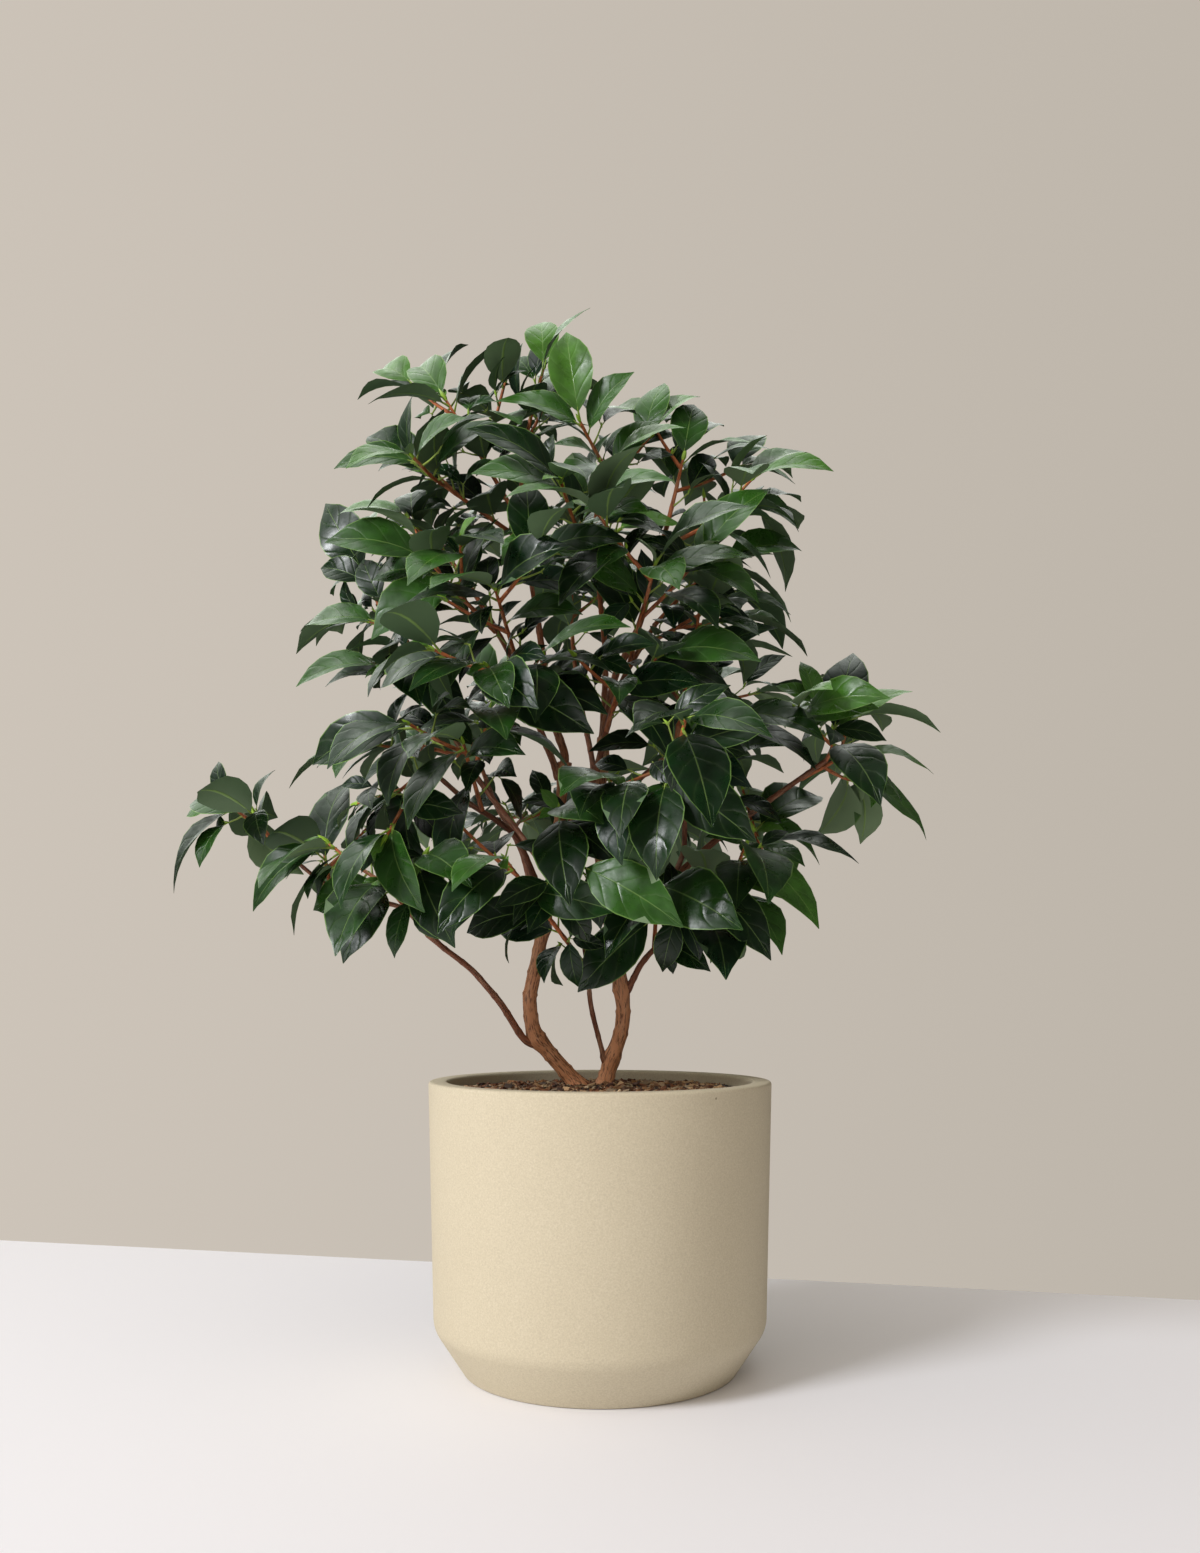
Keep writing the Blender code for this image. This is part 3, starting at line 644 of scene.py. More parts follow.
def growLimbs():
    grown = {}
    trunkSides, boughSides = bark["shapeSides"]
    for name, (carrier, along, places, footRadius, tipRadius) in limbSizes.items():
        places = [Vector(place) * mm for place in places]
        if carrier:
            foot, normal, heading = grown[carrier].seat(along, places[0])
            course = curveThrough([foot, foot + heading * bark["collar"] * mm, *places],
                                  bark["boughStep"] * mm)
            limb = Limb(name, course, footRadius * mm, tipRadius * mm, boughSides, normal)
            grown[carrier].forks.append((along, footRadius * mm))
        else:
            places[0].z = soil["top"] * mm + gap
            course = curveThrough(places, bark["trunkStep"] * mm)
            up = Vector((0, 0, 1))
            limb = Limb(name, course, footRadius * mm, tipRadius * mm, trunkSides, up, bark["flare"])
        limb.carrier = carrier
        limb.along = along
        grown[name] = limb
    return grown


def barkMaterial():
    # camellia bark: thin and smooth when young, orange brown; later tan, with fine cracks along the stem
    made, tree, shader = newMaterial("camelliaBark")
    place = addNode(tree, "Attribute", attribute_name="barkPlace").outputs["Vector"]
    age = addNode(tree, "Attribute", attribute_name="age").outputs["Fac"]
    blotch = addNode(tree, "TexNoise", {"Vector": place, "Scale": 260, "Detail": 5, "Roughness": 0.65})
    cracks = addNode(tree, "TexNoise", {"Vector": place, "Scale": 900, "Detail": 4, "Roughness": 0.6})
    aged = addNode(tree, "ValToRGB", {"Fac": age}, bark["aged"])
    # thin limbs low down are made darker towards the bottom
    weather = addNode(tree, "Attribute", attribute_name="weather").outputs["Fac"]
    darkened = addNode(tree, "Mix", {"Factor": weather, "A": aged, "B": linear(bark["weathered"])},
                   data_type="RGBA")
    paleness = addNode(tree, "MapRange", {"Value": blotch, "From Min": 0.5, "From Max": 0.75, "To Max": 0.5})
    worn = addNode(tree, "Mix", {"Factor": paleness, "A": darkened, "B": linear(bark["pale"])}, data_type="RGBA")
    depth = addNode(tree, "MapRange", {"Value": cracks, "From Min": 0.5, "From Max": 0.36, "To Max": 0.82})
    colour = addNode(tree, "Mix", {"Factor": depth, "A": worn, "B": linear(bark["crack"])}, data_type="RGBA")
    bump = addNode(tree, "Bump", {"Height": cracks, "Distance": 0.6 * mm, "Strength": 0.7})
    feed(tree, shader, {"Base Color": colour, "Roughness": 0.68, "Normal": bump})
    return made


def resample(course, step):
    # even steps along a course, following its smooth curve
    fine = curveThrough(course, step) if len(course) > 2 else course
    length = lengthOf(fine)
    count = max(3, round(length / step))
    return [placeAlong(fine, index / count)[0] for index in range(count + 1)]


def barkTube(course, radii, sides, footAge, tipAge, seed, relief):
    # a tube with ridges along it and knots round it; its points carry their place on the bark
    points, places, ages = [], [], []
    reach = 0
    knots = bark["knots"] * mm
    for index, ((place, across, other), radius) in enumerate(zip(framesAlong(course), radii)):
        reach += (place - course[index - 1]).length if index else 0
        phase = (reach / knots + 0.37 * seed) % 1
        ring = 1 + bark["knotSwell"] * math.exp(-(((phase - 0.5) / bark["knotWidth"]) ** 2))
        for side in range(sides):
            turn = math.tau * side / sides
            spot = Vector((math.cos(turn) * radius, math.sin(turn) * radius, reach * bark["stretch"]))
            rough = noise.fractal(spot / (bark["ridge"] * mm) + Vector((seed, 0, 0)), 0.9, 2.1, 3)
            out = radius * ring * (1 + relief * rough)
            points.append(place + (across * math.cos(turn) + other * math.sin(turn)) * out)
            places.append((spot.x, spot.y, spot.z + seed))
            ages.append(footAge + (tipAge - footAge) * index / (len(course) - 1))
    return points, tubeFaces(len(points), sides), places, ages


def dressLimb(limb, seed, carrierLimb, material):
    # the limb's bark: sunk in its carrier with a collar, swollen at its forks
    course = resample(limb.course, bark["meshStep"] * mm)
    count = len(course) - 1
    length = lengthOf(course)
    radii = []
    for index in range(count + 1):
        along = index / count
        swell = 0
        for fork, childRadius in limb.forks:
            away = abs(along - fork) * length / (bark["forkReach"] * mm)
            swell = max(swell, bark["forkSwell"] * childRadius * math.exp(-away**2))
        flare = 0
        if not limb.carrier:
            flare = bark["flare"] * max(0, 1 - along * length / (bark["flareReach"] * mm)) ** 2
        elif limb.along < 1:
            flare = bark["collarSwell"] * math.exp(-((along * length / (bark["collarReach"] * mm)) ** 2))
        radii.append(limb.radius(along) * (1 + flare) + swell)
    if carrierLimb:
        sink = carrierLimb.radius(limb.along) * bark["sunkSide" if limb.along < 1 else "sunkEnd"]
        course = [course[0] - directions(course)[0] * sink, *course]
        radii = [radii[0] * bark["sunkTaper"], *radii]
    else:
        course = [course[0] - Vector((0, 0, bark["sunkUnder"] * mm)), *course]
        radii = [radii[0] * bark["underSpread"], *radii]
    sides = bark["boughSides"] if limb.carrier else bark["trunkSides"]
    footAge, tipAge = (
        min(1, (radius / mm - bark["thin"]) / (bark["thick"] - bark["thin"]))
        for radius in (limb.footRadius, limb.tipRadius)
    )
    points, faces, places, ages = barkTube(course, radii, sides, footAge, tipAge, seed, bark["relief"])
    # thin bark is made darker towards the bottom of the plant
    weather = []
    for point, age in zip(points, ages):
        share = (bark["weatheredBelow"] - point.z / mm) / bark["weatheredOver"]
        weather.append((1 - age) * max(0, min(bark["weatheredMost"], share)))
    joined = Joined()
    joined.add(points, faces, barkPlace=places, age=ages, weather=weather)
    words = limb.name.split("_")
    title = words[0] + "".join(word.title() for word in words[1:])
    red = limb.name.startswith("right")
    joined.finish(title + "Bark", [material], "red_bark" if red else "tan_bark", [limb.name])


limbs = growLimbs()
barkSkin = barkMaterial()
for order, limb in enumerate(limbs.values()):
    dressLimb(limb, order + 1, limbs.get(limb.carrier), barkSkin)
print("limbs dressed in bark:", len(limbs))

# Foliage: each mass's carrier, how far along that its stem leaves, the stem's tip (mm), its side
# shoots, how far its leaves hang, and its seed
massSizes = {
    "crown_left": ("centre_leader", 0.96, (-108, -5, 679), 2, 0.2, 841),
    "crown_top": ("centre_leader", 1, (-40, 0, 703), 1, 0, 402),
    "crown_middle": ("middle_leader", 1, (8, -22, 628), 2, 0.1, 363),
    "crown_front": ("centre_leader", 0.78, (-8, -70, 566), 2, 0.35, 84),
    "crown_shoulder": ("right_leader", 1, (58, -8, 636), 2, 0.1, 365),
    "right_peak": ("right_leader", 0.9, (102, 0, 606), 2, 0.3, 406),
    "upper_left": ("centre_leader", 0.88, (-116, -30, 616), 2, 0.2, 327),
    "left_shoulder": ("left_leader", 1, (-117, 10, 582), 2, 0.3, 448),
    "left_bright": ("left_leader", 0.85, (-111, -66, 545), 2, 0.3, 9),
    "left_side": ("left_rising_bough", 1, (-164, 10, 528), 2, 0.2, 290),
    "left_elbow": ("left_rising_bough", 0.8, (-146, -20, 488), 1, 0.3, 11),
    "left_waist": ("left_rising_bough", 0.55, (-138, 34, 446), 1, 0.3, 372),
    "left_skirt": ("left_middle_bough", 1, (-136, -52, 396), 2, 0.4, 333),
    "left_front": ("left_middle_bough", 0.7, (-87, -90, 422), 2, 0.5, 174),
    "far_left_tip": ("far_left_bough", 1, (-244, 0, 390), 1, 0.6, 243),
    "far_left_middle": ("far_left_bough", 0.62, (-196, 8, 362), 1, 0.4, 376),
    "low_left": ("left_low_bough", 1, (-144, -50, 338), 2, 0.6, 657),
    "centre_high": ("left_leader", 0.6, (-66, -95, 518), 2, 0.3, 18),
    "centre_front": ("left_leader", 0.35, (-70, -112, 466), 2, 0.4, 219),
    "centre_heart": ("cross_bough", 0.45, (12, -76, 462), 2, 0.4, 140),
    "centre_buds": ("centre_stem", 1, (-27, -55, 384), 1, 0.4, 101),
    "centre_low": ("centre_stem", 0.5, (-60, -90, 348), 2, 0.4, 142),
    "right_shoulder": ("cross_bough", 1, (86, 8, 570), 2, 0.2, 263),
    "right_upper_side": ("cross_bough", 0.85, (76, -30, 526), 1, 0.3, 24),
    "right_front_high": ("cross_bough", 0.72, (35, -92, 535), 2, 0.3, 225),
    "right_side": ("right_inner_bough", 1, (62, -34, 482), 2, 0.4, 266),
    "right_waist": ("right_bough", 0.62, (76, 10, 430), 2, 0.4, 387),
    "far_right_top": ("right_bough", 1, (162, -10, 446), 1, 0.1, 428),
    "far_right": ("right_bough", 0.9, (176, 16, 434), 2, 0.45, 509),
    "right_low_tip": ("right_sprig", 1, (110, 8, 378), 1, 0.5, 550),
    "right_low_side": ("right_low_bough", 1, (90, -14, 338), 2, 0.5, 431),
    "right_low_front": ("right_low_bough", 0.6, (38, -56, 334), 1, 0.5, 312),
    "right_front_low": ("right_middle_bough", 1, (42, -104, 396), 2, 0.45, 153),
    "back_left_high": ("back_left_bough", 1, (-112, 128, 488), 2, 0.25, 34),
    "back_left_low": ("back_left_bough", 0.6, (-60, 132, 408), 2, 0.4, 35),
    "back_right_high": ("back_right_bough", 1, (88, 122, 506), 2, 0.25, 36),
    "back_right_low": ("back_right_bough", 0.6, (64, 134, 394), 2, 0.4, 37),
    "back_crown": ("back_middle_bough", 1, (-22, 112, 592), 3, 0.2, 38),
}
# Shoots: a stem and its side shoots, from foot to tip, how closely their leaves stand, the room that a
# mass keeps to itself, and the mesh of their bark (mm, degrees and shares)
shoot = {
    "step": 36, "foot": 1.8, "tip": 1.4, "side": 50, "sideSpan": (0.75, 1.1), "spread": (40, 58),
    "from": 0.5, "over": 0.36, "rise": 0.4, "lessRise": 0.7, "lift": 0.12, "internode": 22,
    "crowdedLeaves": 3, "crowdedInternode": 5, "internodeSpan": (0.85, 1.15), "bare": 0.3, "tries": 7,
    "share": 24, "lowestLeaf": 262, "sides": 7, "meshStep": 4, "end": 1.0, "age": 0.15, "relief": 0.06,
    "seeds": (30, 90),
}
# Leaves: their length and its spread, how they leave the shoot, hang, face and roll, and their plain
# shell (mm, degrees and shares of the length; lessFrom is a height in metres)
leafSize = {
    "length": 70, "lessHigher": 50, "lessFrom": 0.48, "span": (0.8, 1.12), "endFrom": 0.97,
    "tipSpread": (8, 30), "crowdedSpread": (34, 58), "openSpread": (56, 78), "hangSpan": (0.2, 1.3),
    "riseSpan": (-0.1, 0.5), "retry": (25, 65), "outward": 0.4, "roll": 24, "turnsUp": 0.5,
    "turnsUpFrom": 0.35, "faces": (0.35, 0.6, 0.3), "middle": 0.6,
    "width": 0.46, "thick": 0.022, "sections": [(0.38, 0.48, 1.3), (0.7, 0.37, 1)],
    "petiole": 0.42, "petioleLength": 0.1, "clear": 0.16, "droop": math.radians(58),
    "fold": math.radians(14),
}
# Spurs: short side growth inside a mass, and the young leaves and buds of the season (mm)
spur = {
    "from": 12, "upTo": 0.8, "every": 13, "everySpan": (0.8, 1.3), "length": (8, 18), "radius": 0.6,
    "taper": (1.5, 1.1, 0.9), "spread": (45, 75), "riseSpan": (0, 0.6), "lift": 0.15,
    "leaves": 2, "leafSpan": (26, 46), "leafSpread": (25, 70), "young": (0, 1, 1, 2),
    "youngSpan": (14, 26), "youngSpread": (12, 34), "endBud": 9, "endSpan": (0.7, 1.2), "axilBud": 5,
    "axilSpan": (0.6, 1.2), "budShare": 0.35, "budWidth": 0.36, "budSides": 5, "budSunk": 0.8,
    "budShape": [(0, 0.5), (0.28, 1), (0.6, 0.8), (0.86, 0.36), (1, 0.08)],
}
# Leaves lean away from this point
crownCentre = Vector((0, 0, 440 * mm))


def leafPlace(foot, way, face, length, along):
    turn = leafSize["droop"] * along
    place = foot + length / leafSize["droop"] * (way * math.sin(turn) - face * (1 - math.cos(turn)))
    return place, face * math.cos(turn) + way * math.sin(turn)


def leafShell(foot, way, face, length, spare=0, start=0):
    # the plain shell that tests whether a leaf has room
    across = way.cross(face)
    thick = length * leafSize["thick"] / 2 + spare
    stalk = leafSize["petiole"] * mm
    sections = [(0, stalk + spare, stalk), (leafSize["petioleLength"], stalk + spare, stalk)]
    for along, half, depth in leafSize["sections"]:
        sections.append((along, length * leafSize["width"] * half + spare, thick * depth))
    points = []
    for along, half, depth in sections:
        along = max(along, start)
        place, up = leafPlace(foot, way, face, length, along)
        lift = math.sin(leafSize["fold"]) * half if along > 0 else 0
        points.append(place - across * half + up * (lift + depth / 2))
        points.append(place + across * half + up * (lift + depth / 2))
        points.append(place - up * depth)
    points.append(leafPlace(foot, way, face, length, 1)[0])
    faces = [(0, 1, 2)]
    for low in (0, 3, 6):
        for corners in ringBand(low, low + 3, 3):
            faces.append(corners[:3])
            faces.append((corners[0], *corners[2:]))
    faces += [(9, 10, 12), (10, 11, 12), (11, 9, 12)]
    return points, faces


class Thing:
    # a plain shape that can be asked whether it meets others
    def __init__(self, shape):
        self.points, self.faces = shape
        self.low = [min(point[axis] for point in self.points) for axis in range(3)]
        self.high = [max(point[axis] for point in self.points) for axis in range(3)]
        self.tree = BVHTree.FromPolygons(self.points, self.faces)

    def meets(self, others):
        for other in others:
            apart = any(
                self.low[axis] > other.high[axis] or self.high[axis] < other.low[axis] for axis in range(3)
            )
            if not apart and self.tree.overlap(other.tree):
                return True
        return False


class Mass:
    # a stem with side shoots and the leaves that found room on them
    def __init__(self, name, carrier, along, tip, sideShoots, hang, seed):
        self.name = name
        self.dice = random.Random(seed)
        self.hang = hang
        self.sideShoots = sideShoots
        tip = Vector(tip) * mm
        foot, normal, heading = limbs[carrier].seat(along, tip)
        self.heart = foot.lerp(tip, 0.8)
        self.sink = limbs[carrier].radius(along) * 0.7
        self.courses = [arch(foot, heading, tip, shoot["step"] * mm)]
        self.twigs = [self.twig(self.courses[0], shoot["foot"] * mm, normal)]
        self.leaves = []
        self.spurs = []
        self.things = []
        self.blades = []

    def twig(self, course, footRadius, footPlane=None):
        last = len(course) - 1
        radii = [footRadius + (shoot["tip"] * mm - footRadius) * index / last for index in range(last + 1)]
        return Thing(tube(course, radii, 3, footPlane))

    def keepsItsSpace(self, place, hearts):
        share = shoot["share"] * mm
        return all((place - self.heart).length < (place - heart).length + share for heart in hearts)

    def surroundings(self, limbThings, others):
        # the shapes that a leaf must keep clear of, and the hearts of the other masses
        things = limbThings + [thing for other in others for thing in other.twigs + other.things]
        return things, [other.heart for other in others]

    def growSideShoots(self, limbThings, others):
        stem = self.courses[0]
        turn = self.dice.uniform(0, math.tau)
        near = limbThings + [thing for other in others for thing in other.twigs]
        for index in range(self.sideShoots):
            along = shoot["from"] + shoot["over"] * index / max(1, self.sideShoots - 1)
            foot, way = placeAlong(stem, along)
            for attempt in range(shoot["tries"]):
                turn += goldenAngle
                spread = math.radians(self.dice.uniform(*shoot["spread"]))
                length = shoot["side"] * mm * self.dice.uniform(*shoot["sideSpan"])
                heading = leaving(way, turn, shoot["rise"] - shoot["lessRise"] * self.hang, spread)
                tip = foot + heading * length + Vector((0, 0, shoot["lift"] * length))
                course = arch(foot, heading, tip, shoot["step"] * mm)
                roomy = Thing(tube(course, [shoot["tip"] * mm + 2 * gap] * len(course), 3))
                if not roomy.meets(near):
                    self.courses.append(course)
                    self.twigs.append(self.twig(course, shoot["tip"] * mm))
                    break

    def growLeaves(self, limbThings, others):
        around = self.surroundings(limbThings, others)
        for course in self.courses:
            length = lengthOf(course)
            turn = self.dice.uniform(0, math.tau)
            back = 0
            count = 0
            while back < length * (1 - shoot["bare"]):
                spreads = leafSize["tipSpread"] if count == 0 else leafSize["crowdedSpread"]
                if count >= shoot["crowdedLeaves"]:
                    spreads = leafSize["openSpread"]
                self.growLeaf(course, 1 - back / length, turn, spreads, around)
                count += 1
                turn += goldenAngle
                step = shoot["crowdedInternode"] if count < shoot["crowdedLeaves"] else shoot["internode"]
                back += step * mm * self.dice.uniform(*shoot["internodeSpan"])

    def growLeaf(self, course, along, turn, spreads, around):
        foot, way = placeAlong(course, along)
        size = (leafSize["length"] + leafSize["lessHigher"] * (leafSize["lessFrom"] - foot.z)) * mm
        size *= self.dice.uniform(*leafSize["span"])
        kind = "end" if along > leafSize["endFrom"] else "open"
        self.setLeaf(foot, way, size, turn, spreads, around, self.dice, kind)

    def setLeaf(self, foot, way, size, turn, spreads, around, dice, kind):
        # one leaf where it finds room, or none
        things, hearts = around
        outward = (foot - crownCentre).normalized()
        turnsUp = leafSize["turnsUp"] * min(1, self.hang / leafSize["turnsUpFrom"])
        toOut, toLight, toShoot = leafSize["faces"]
        for attempt in range(shoot["tries"]):
            spread = math.radians(dice.uniform(*spreads))
            hang = self.hang * dice.uniform(*leafSize["hangSpan"])
            leafWay = leaving(way, turn, dice.uniform(*leafSize["riseSpan"]), spread)
            leafWay = (leafWay + leafSize["outward"] * outward - Vector((0, 0, hang))).normalized()
            facing = Vector((0, 0, turnsUp)) + toOut * outward + toLight * lightFrom + toShoot * way
            face = squareTo(leafWay, facing)
            roll = math.radians(dice.uniform(-leafSize["roll"], leafSize["roll"]))
            face = face * math.cos(roll) + leafWay.cross(face) * math.sin(roll)
            turn += math.radians(dice.uniform(*leafSize["retry"]))
            tip = leafPlace(foot, leafWay, face, size, 1)[0]
            middle = leafPlace(foot, leafWay, face, size, leafSize["middle"])[0]
            if tip.z < shoot["lowestLeaf"] * mm or not self.keepsItsSpace(middle, hearts):
                continue
            clear = Thing(leafShell(foot, leafWay, face, size, gap, leafSize["clear"]))
            roomy = Thing(leafShell(foot, leafWay, face, size, gap))
            if clear.meets(self.blades + self.twigs) or roomy.meets(things):
                continue
            self.things.append(Thing(leafShell(foot, leafWay, face, size)))
            self.leaves.append((foot, leafWay, face, size, kind))
            self.blades.append(clear)
            return

    def growSpurs(self, limbThings, others):
        # finer growth by the same rule: short spurs inside the mass, each with one or two smaller
        # leaves, and young leaves round the end bud of every shoot
        dice = random.Random(self.name)
        around = self.surroundings(limbThings, others)
        for course in self.courses:
            length = lengthOf(course)
            turn = dice.uniform(0, math.tau)
            reach = spur["from"] * mm
            while reach < length * spur["upTo"]:
                foot, way = placeAlong(course, reach / length)
                turn += goldenAngle
                reach += spur["every"] * mm * dice.uniform(*spur["everySpan"])
                spread = math.radians(dice.uniform(*spur["spread"]))
                span = dice.uniform(*spur["length"]) * mm
                heading = leaving(way, turn, dice.uniform(*spur["riseSpan"]), spread)
                end = foot + heading * span + Vector((0, 0, spur["lift"] * span))
                line = arch(foot, heading, end, span)
                roomy = Thing(tube(line, [spur["radius"] * mm + gap] * len(line), 3))
                if roomy.meets(around[0] + self.blades):
                    continue
                before = len(self.leaves)
                for leaf in range(spur["leaves"]):
                    size = dice.uniform(*spur["leafSpan"]) * mm
                    self.setLeaf(line[-1], heading, size, turn + leaf * goldenAngle, spur["leafSpread"],
                                 around, dice, "inner")
                if len(self.leaves) > before:
                    self.spurs.append(line)
            tip, way = placeAlong(course, 1)
            for leaf in range(dice.choice(spur["young"])):
                size = dice.uniform(*spur["youngSpan"]) * mm
                turn += goldenAngle
                self.setLeaf(tip, way, size, turn, spur["youngSpread"], around, dice, "young")


def growMasses():
    grown = {name: Mass(name, *row) for name, row in massSizes.items()}
    limbThings = [Thing(limb.shape) for limb in limbs.values()]
    for grow in (Mass.growSideShoots, Mass.growLeaves, Mass.growSpurs):
        for mass in grown.values():
            grow(mass, limbThings, [other for other in grown.values() if other is not mass])
    return grown


masses = growMasses()
print("foliage grown:", sum(len(mass.leaves) for mass in masses.values()), "leaves")

# A leaf's blade: its outline as half widths along it, the places across it above and below, how it
# is folded, cupped, waved and twisted, and its stalk (mm)
blade = {
    "outline": [(0, 0.05), (0.08, 0.38), (0.2, 0.76), (0.34, 0.97), (0.48, 1), (0.63, 0.86),
                (0.77, 0.58), (0.9, 0.22), (1, 0.02)],
    "above": (-1, -0.52, 0, 0.52, 1), "below": (1, 0, -1), "thick": 0.6, "thinner": 0.7, "cup": 0.16,
    "foldSpan": (0.9, 2), "wave": 0.08, "waveSpan": (0.2, 1.4), "waves": 9, "lag": 1.3, "twist": 16,
    "widthSpan": (0.88, 1.08), "stalk": 0.8, "stalkTaper": (1.25, 1, 0.7), "stalkSides": 4,
    "stalkInto": 0.04, "stalkSunk": 1.2,
}
leafColours = {
    "above": [(0, "#051405"), (0.3, "#0f2c0b"), (0.6, "#315b1b"), (0.8, "#4b7828"), (1, "#668d3a")],
    "under": [(0, "#3a5836"), (1, "#93ad80")], "vein": "#7f9f55", "margin": "#6f9447",
    "blue": "#0c2a1c", "stalk": "#8fa648", "bud": "#9bc23f",
}


def leafAcross(tree):
    # how far along the blade, and how far from its midrib
    uv = addNode(tree, "SeparateXYZ", {"Vector": addNode(tree, "UVMap", uv_map="leaf")})
    side = addNode(tree, "Math", {0: uv.outputs["X"], 1: 0.5}, operation="SUBTRACT")
    return uv.outputs["Y"], addNode(tree, "Math", {0: side}, operation="ABSOLUTE")


def leafTop():
    # the upper side of a camellia leaf: a thick waxy skin, deep green and glossy, with a pale midrib
    made, tree, shader = newMaterial("glossyLeafTop")
    tone = addNode(tree, "Attribute", attribute_name="tone").outputs["Fac"]
    cool = addNode(tree, "Attribute", attribute_name="cool").outputs["Fac"]
    green = addNode(tree, "ValToRGB", {"Fac": tone}, leafColours["above"])
    base = addNode(tree, "Mix", {"Factor": cool, "A": green, "B": linear(leafColours["blue"])},
                   data_type="RGBA")
    along, away = leafAcross(tree)
    rib = addNode(tree, "MapRange", {"Value": away, "From Min": 0.018, "From Max": 0.006, "To Max": 0.42})
    edge = addNode(tree, "MapRange", {"Value": away, "From Min": 0.472, "From Max": 0.49, "To Max": 0.8})
    slant = addNode(tree, "Math", {0: away, 1: -0.55, 2: along}, operation="MULTIPLY_ADD")
    rows = addNode(tree, "Math", {0: slant, 1: 9}, operation="MULTIPLY")
    ridges = addNode(tree, "Math", {0: rows, 1: 1}, operation="PINGPONG")
    vein = addNode(tree, "Math", {0: ridges, 1: 6}, operation="POWER")
    faintVein = addNode(tree, "Math", {0: vein, 1: 0.05}, operation="MULTIPLY")
    place = addNode(tree, "TexCoord").outputs["Object"]
    mottle = addNode(tree, "TexNoise", {"Vector": place, "Scale": 90, "Detail": 3})
    veinColour = linear(leafColours["vein"])
    veined = addNode(tree, "Mix", {"Factor": faintVein, "A": shadeBy(tree, base, mottle, 0.7, 1.3, 0.3, 0.7),
                                   "B": veinColour}, data_type="RGBA")
    ribbed = addNode(tree, "Mix", {"Factor": rib, "A": veined, "B": veinColour}, data_type="RGBA")
    edged = addNode(tree, "Mix", {"Factor": edge, "A": ribbed, "B": linear(leafColours["margin"])},
                    data_type="RGBA")
    bloom = addNode(tree, "TexNoise", {"Vector": place, "Scale": 55, "Detail": 4, "Roughness": 0.65})
    wax = addNode(tree, "MapRange", {"Value": bloom, "From Min": 0.36, "From Max": 0.64, "To Min": 0.23,
                                     "To Max": 0.52})
    # between its side veins the blade swells a little, and it dips along them and along the midrib
    dip = addNode(tree, "Math", {0: vein, 1: rib}, operation="ADD")
    swell = addNode(tree, "Math", {0: bloom, 1: 1.6}, operation="MULTIPLY")
    height = addNode(tree, "Math", {0: swell, 1: dip}, operation="SUBTRACT")
    bump = addNode(tree, "Bump", {"Height": height, "Distance": 0.45 * mm, "Strength": 0.5})
    feed(tree, shader, {"Base Color": edged, "Roughness": wax, "IOR": 1.45, "Normal": bump})
    return made


def leafUnder():
    # the underside: paler, matte and yellower, with the midrib standing out
    made, tree, shader = newMaterial("matteLeafUnderside")
    tone = addNode(tree, "Attribute", attribute_name="tone").outputs["Fac"]
    base = addNode(tree, "ValToRGB", {"Fac": tone}, leafColours["under"])
    rib = addNode(tree, "MapRange", {"Value": leafAcross(tree)[1], "From Min": 0.04, "From Max": 0.015})
    ribbed = addNode(tree, "Mix", {"Factor": rib, "A": base, "B": linear(leafColours["vein"])},
                     data_type="RGBA")
    bump = addNode(tree, "Bump", {"Height": rib, "Distance": 0.5 * mm, "Strength": 0.5})
    feed(tree, shader, {"Base Color": ribbed, "Roughness": 0.62, "Normal": bump})
    return made


def plainGreen(name, hexColour, roughness):
    # soft young growth: stalks and buds, with a slight mottle
    made, tree, shader = newMaterial(name)
    place = addNode(tree, "TexCoord").outputs["Object"]
    mottle = addNode(tree, "TexNoise", {"Vector": place, "Scale": 300, "Detail": 2})
    shaded = shadeBy(tree, linear(hexColour)[:3], mottle, 0.7, 1.3)
    feed(tree, shader, {"Base Color": shaded, "Roughness": roughness})
    return made


def leafBlade(foot, way, face, length, dice):
    # points, faces, slots and uv of one leaf: a closed blade, glossy above and matte below
    across = way.cross(face)
    width = length * leafSize["width"] / 2 * dice.uniform(*blade["widthSpan"])
    fold = math.tan(leafSize["fold"]) * dice.uniform(*blade["foldSpan"])
    wave = blade["wave"] * dice.uniform(*blade["waveSpan"])
    phase = dice.uniform(0, math.tau)
    twist = math.radians(dice.uniform(-1, 1) * blade["twist"])
    start = leafSize["petioleLength"]
    half = blade["thick"] * mm / 2
    upper = len(blade["above"])
    ring = [(u, half * (1 - abs(u))) for u in blade["above"]]
    ring += [(u, -half) for u in blade["below"][1:-1]]
    count = len(ring)
    points, uvs = [], []
    for place, wide in blade["outline"]:
        middle, up = leafPlace(foot, way, face, length, start + (1 - start) * place)
        turned = twist * place
        beside = across * math.cos(turned) + up * math.sin(turned)
        above = up * math.cos(turned) - across * math.sin(turned)
        thin = 1 - blade["thinner"] * place
        for u, rise in ring:
            lag = blade["lag"] if u > 0 else 0
            ripple = wave * math.sin(phase + place * blade["waves"] + lag) * u * u
            lift = fold * abs(u) - blade["cup"] * abs(u) ** 3 + ripple
            points.append(middle + beside * (u * width * wide) + above * (width * wide * lift + rise * thin))
            uvs.append((0.5 + u / 2, place))
    faces, slots = [tuple(reversed(range(count)))], [1]
    for low in range(0, len(points) - count, count):
        faces += ringBand(low, low + count, count)
        slots += [0] * (upper - 1) + [1] * (count - upper + 1)
    faces.append(tuple(range(len(points) - count, len(points))))
    return points, faces, slots + [1], uvs


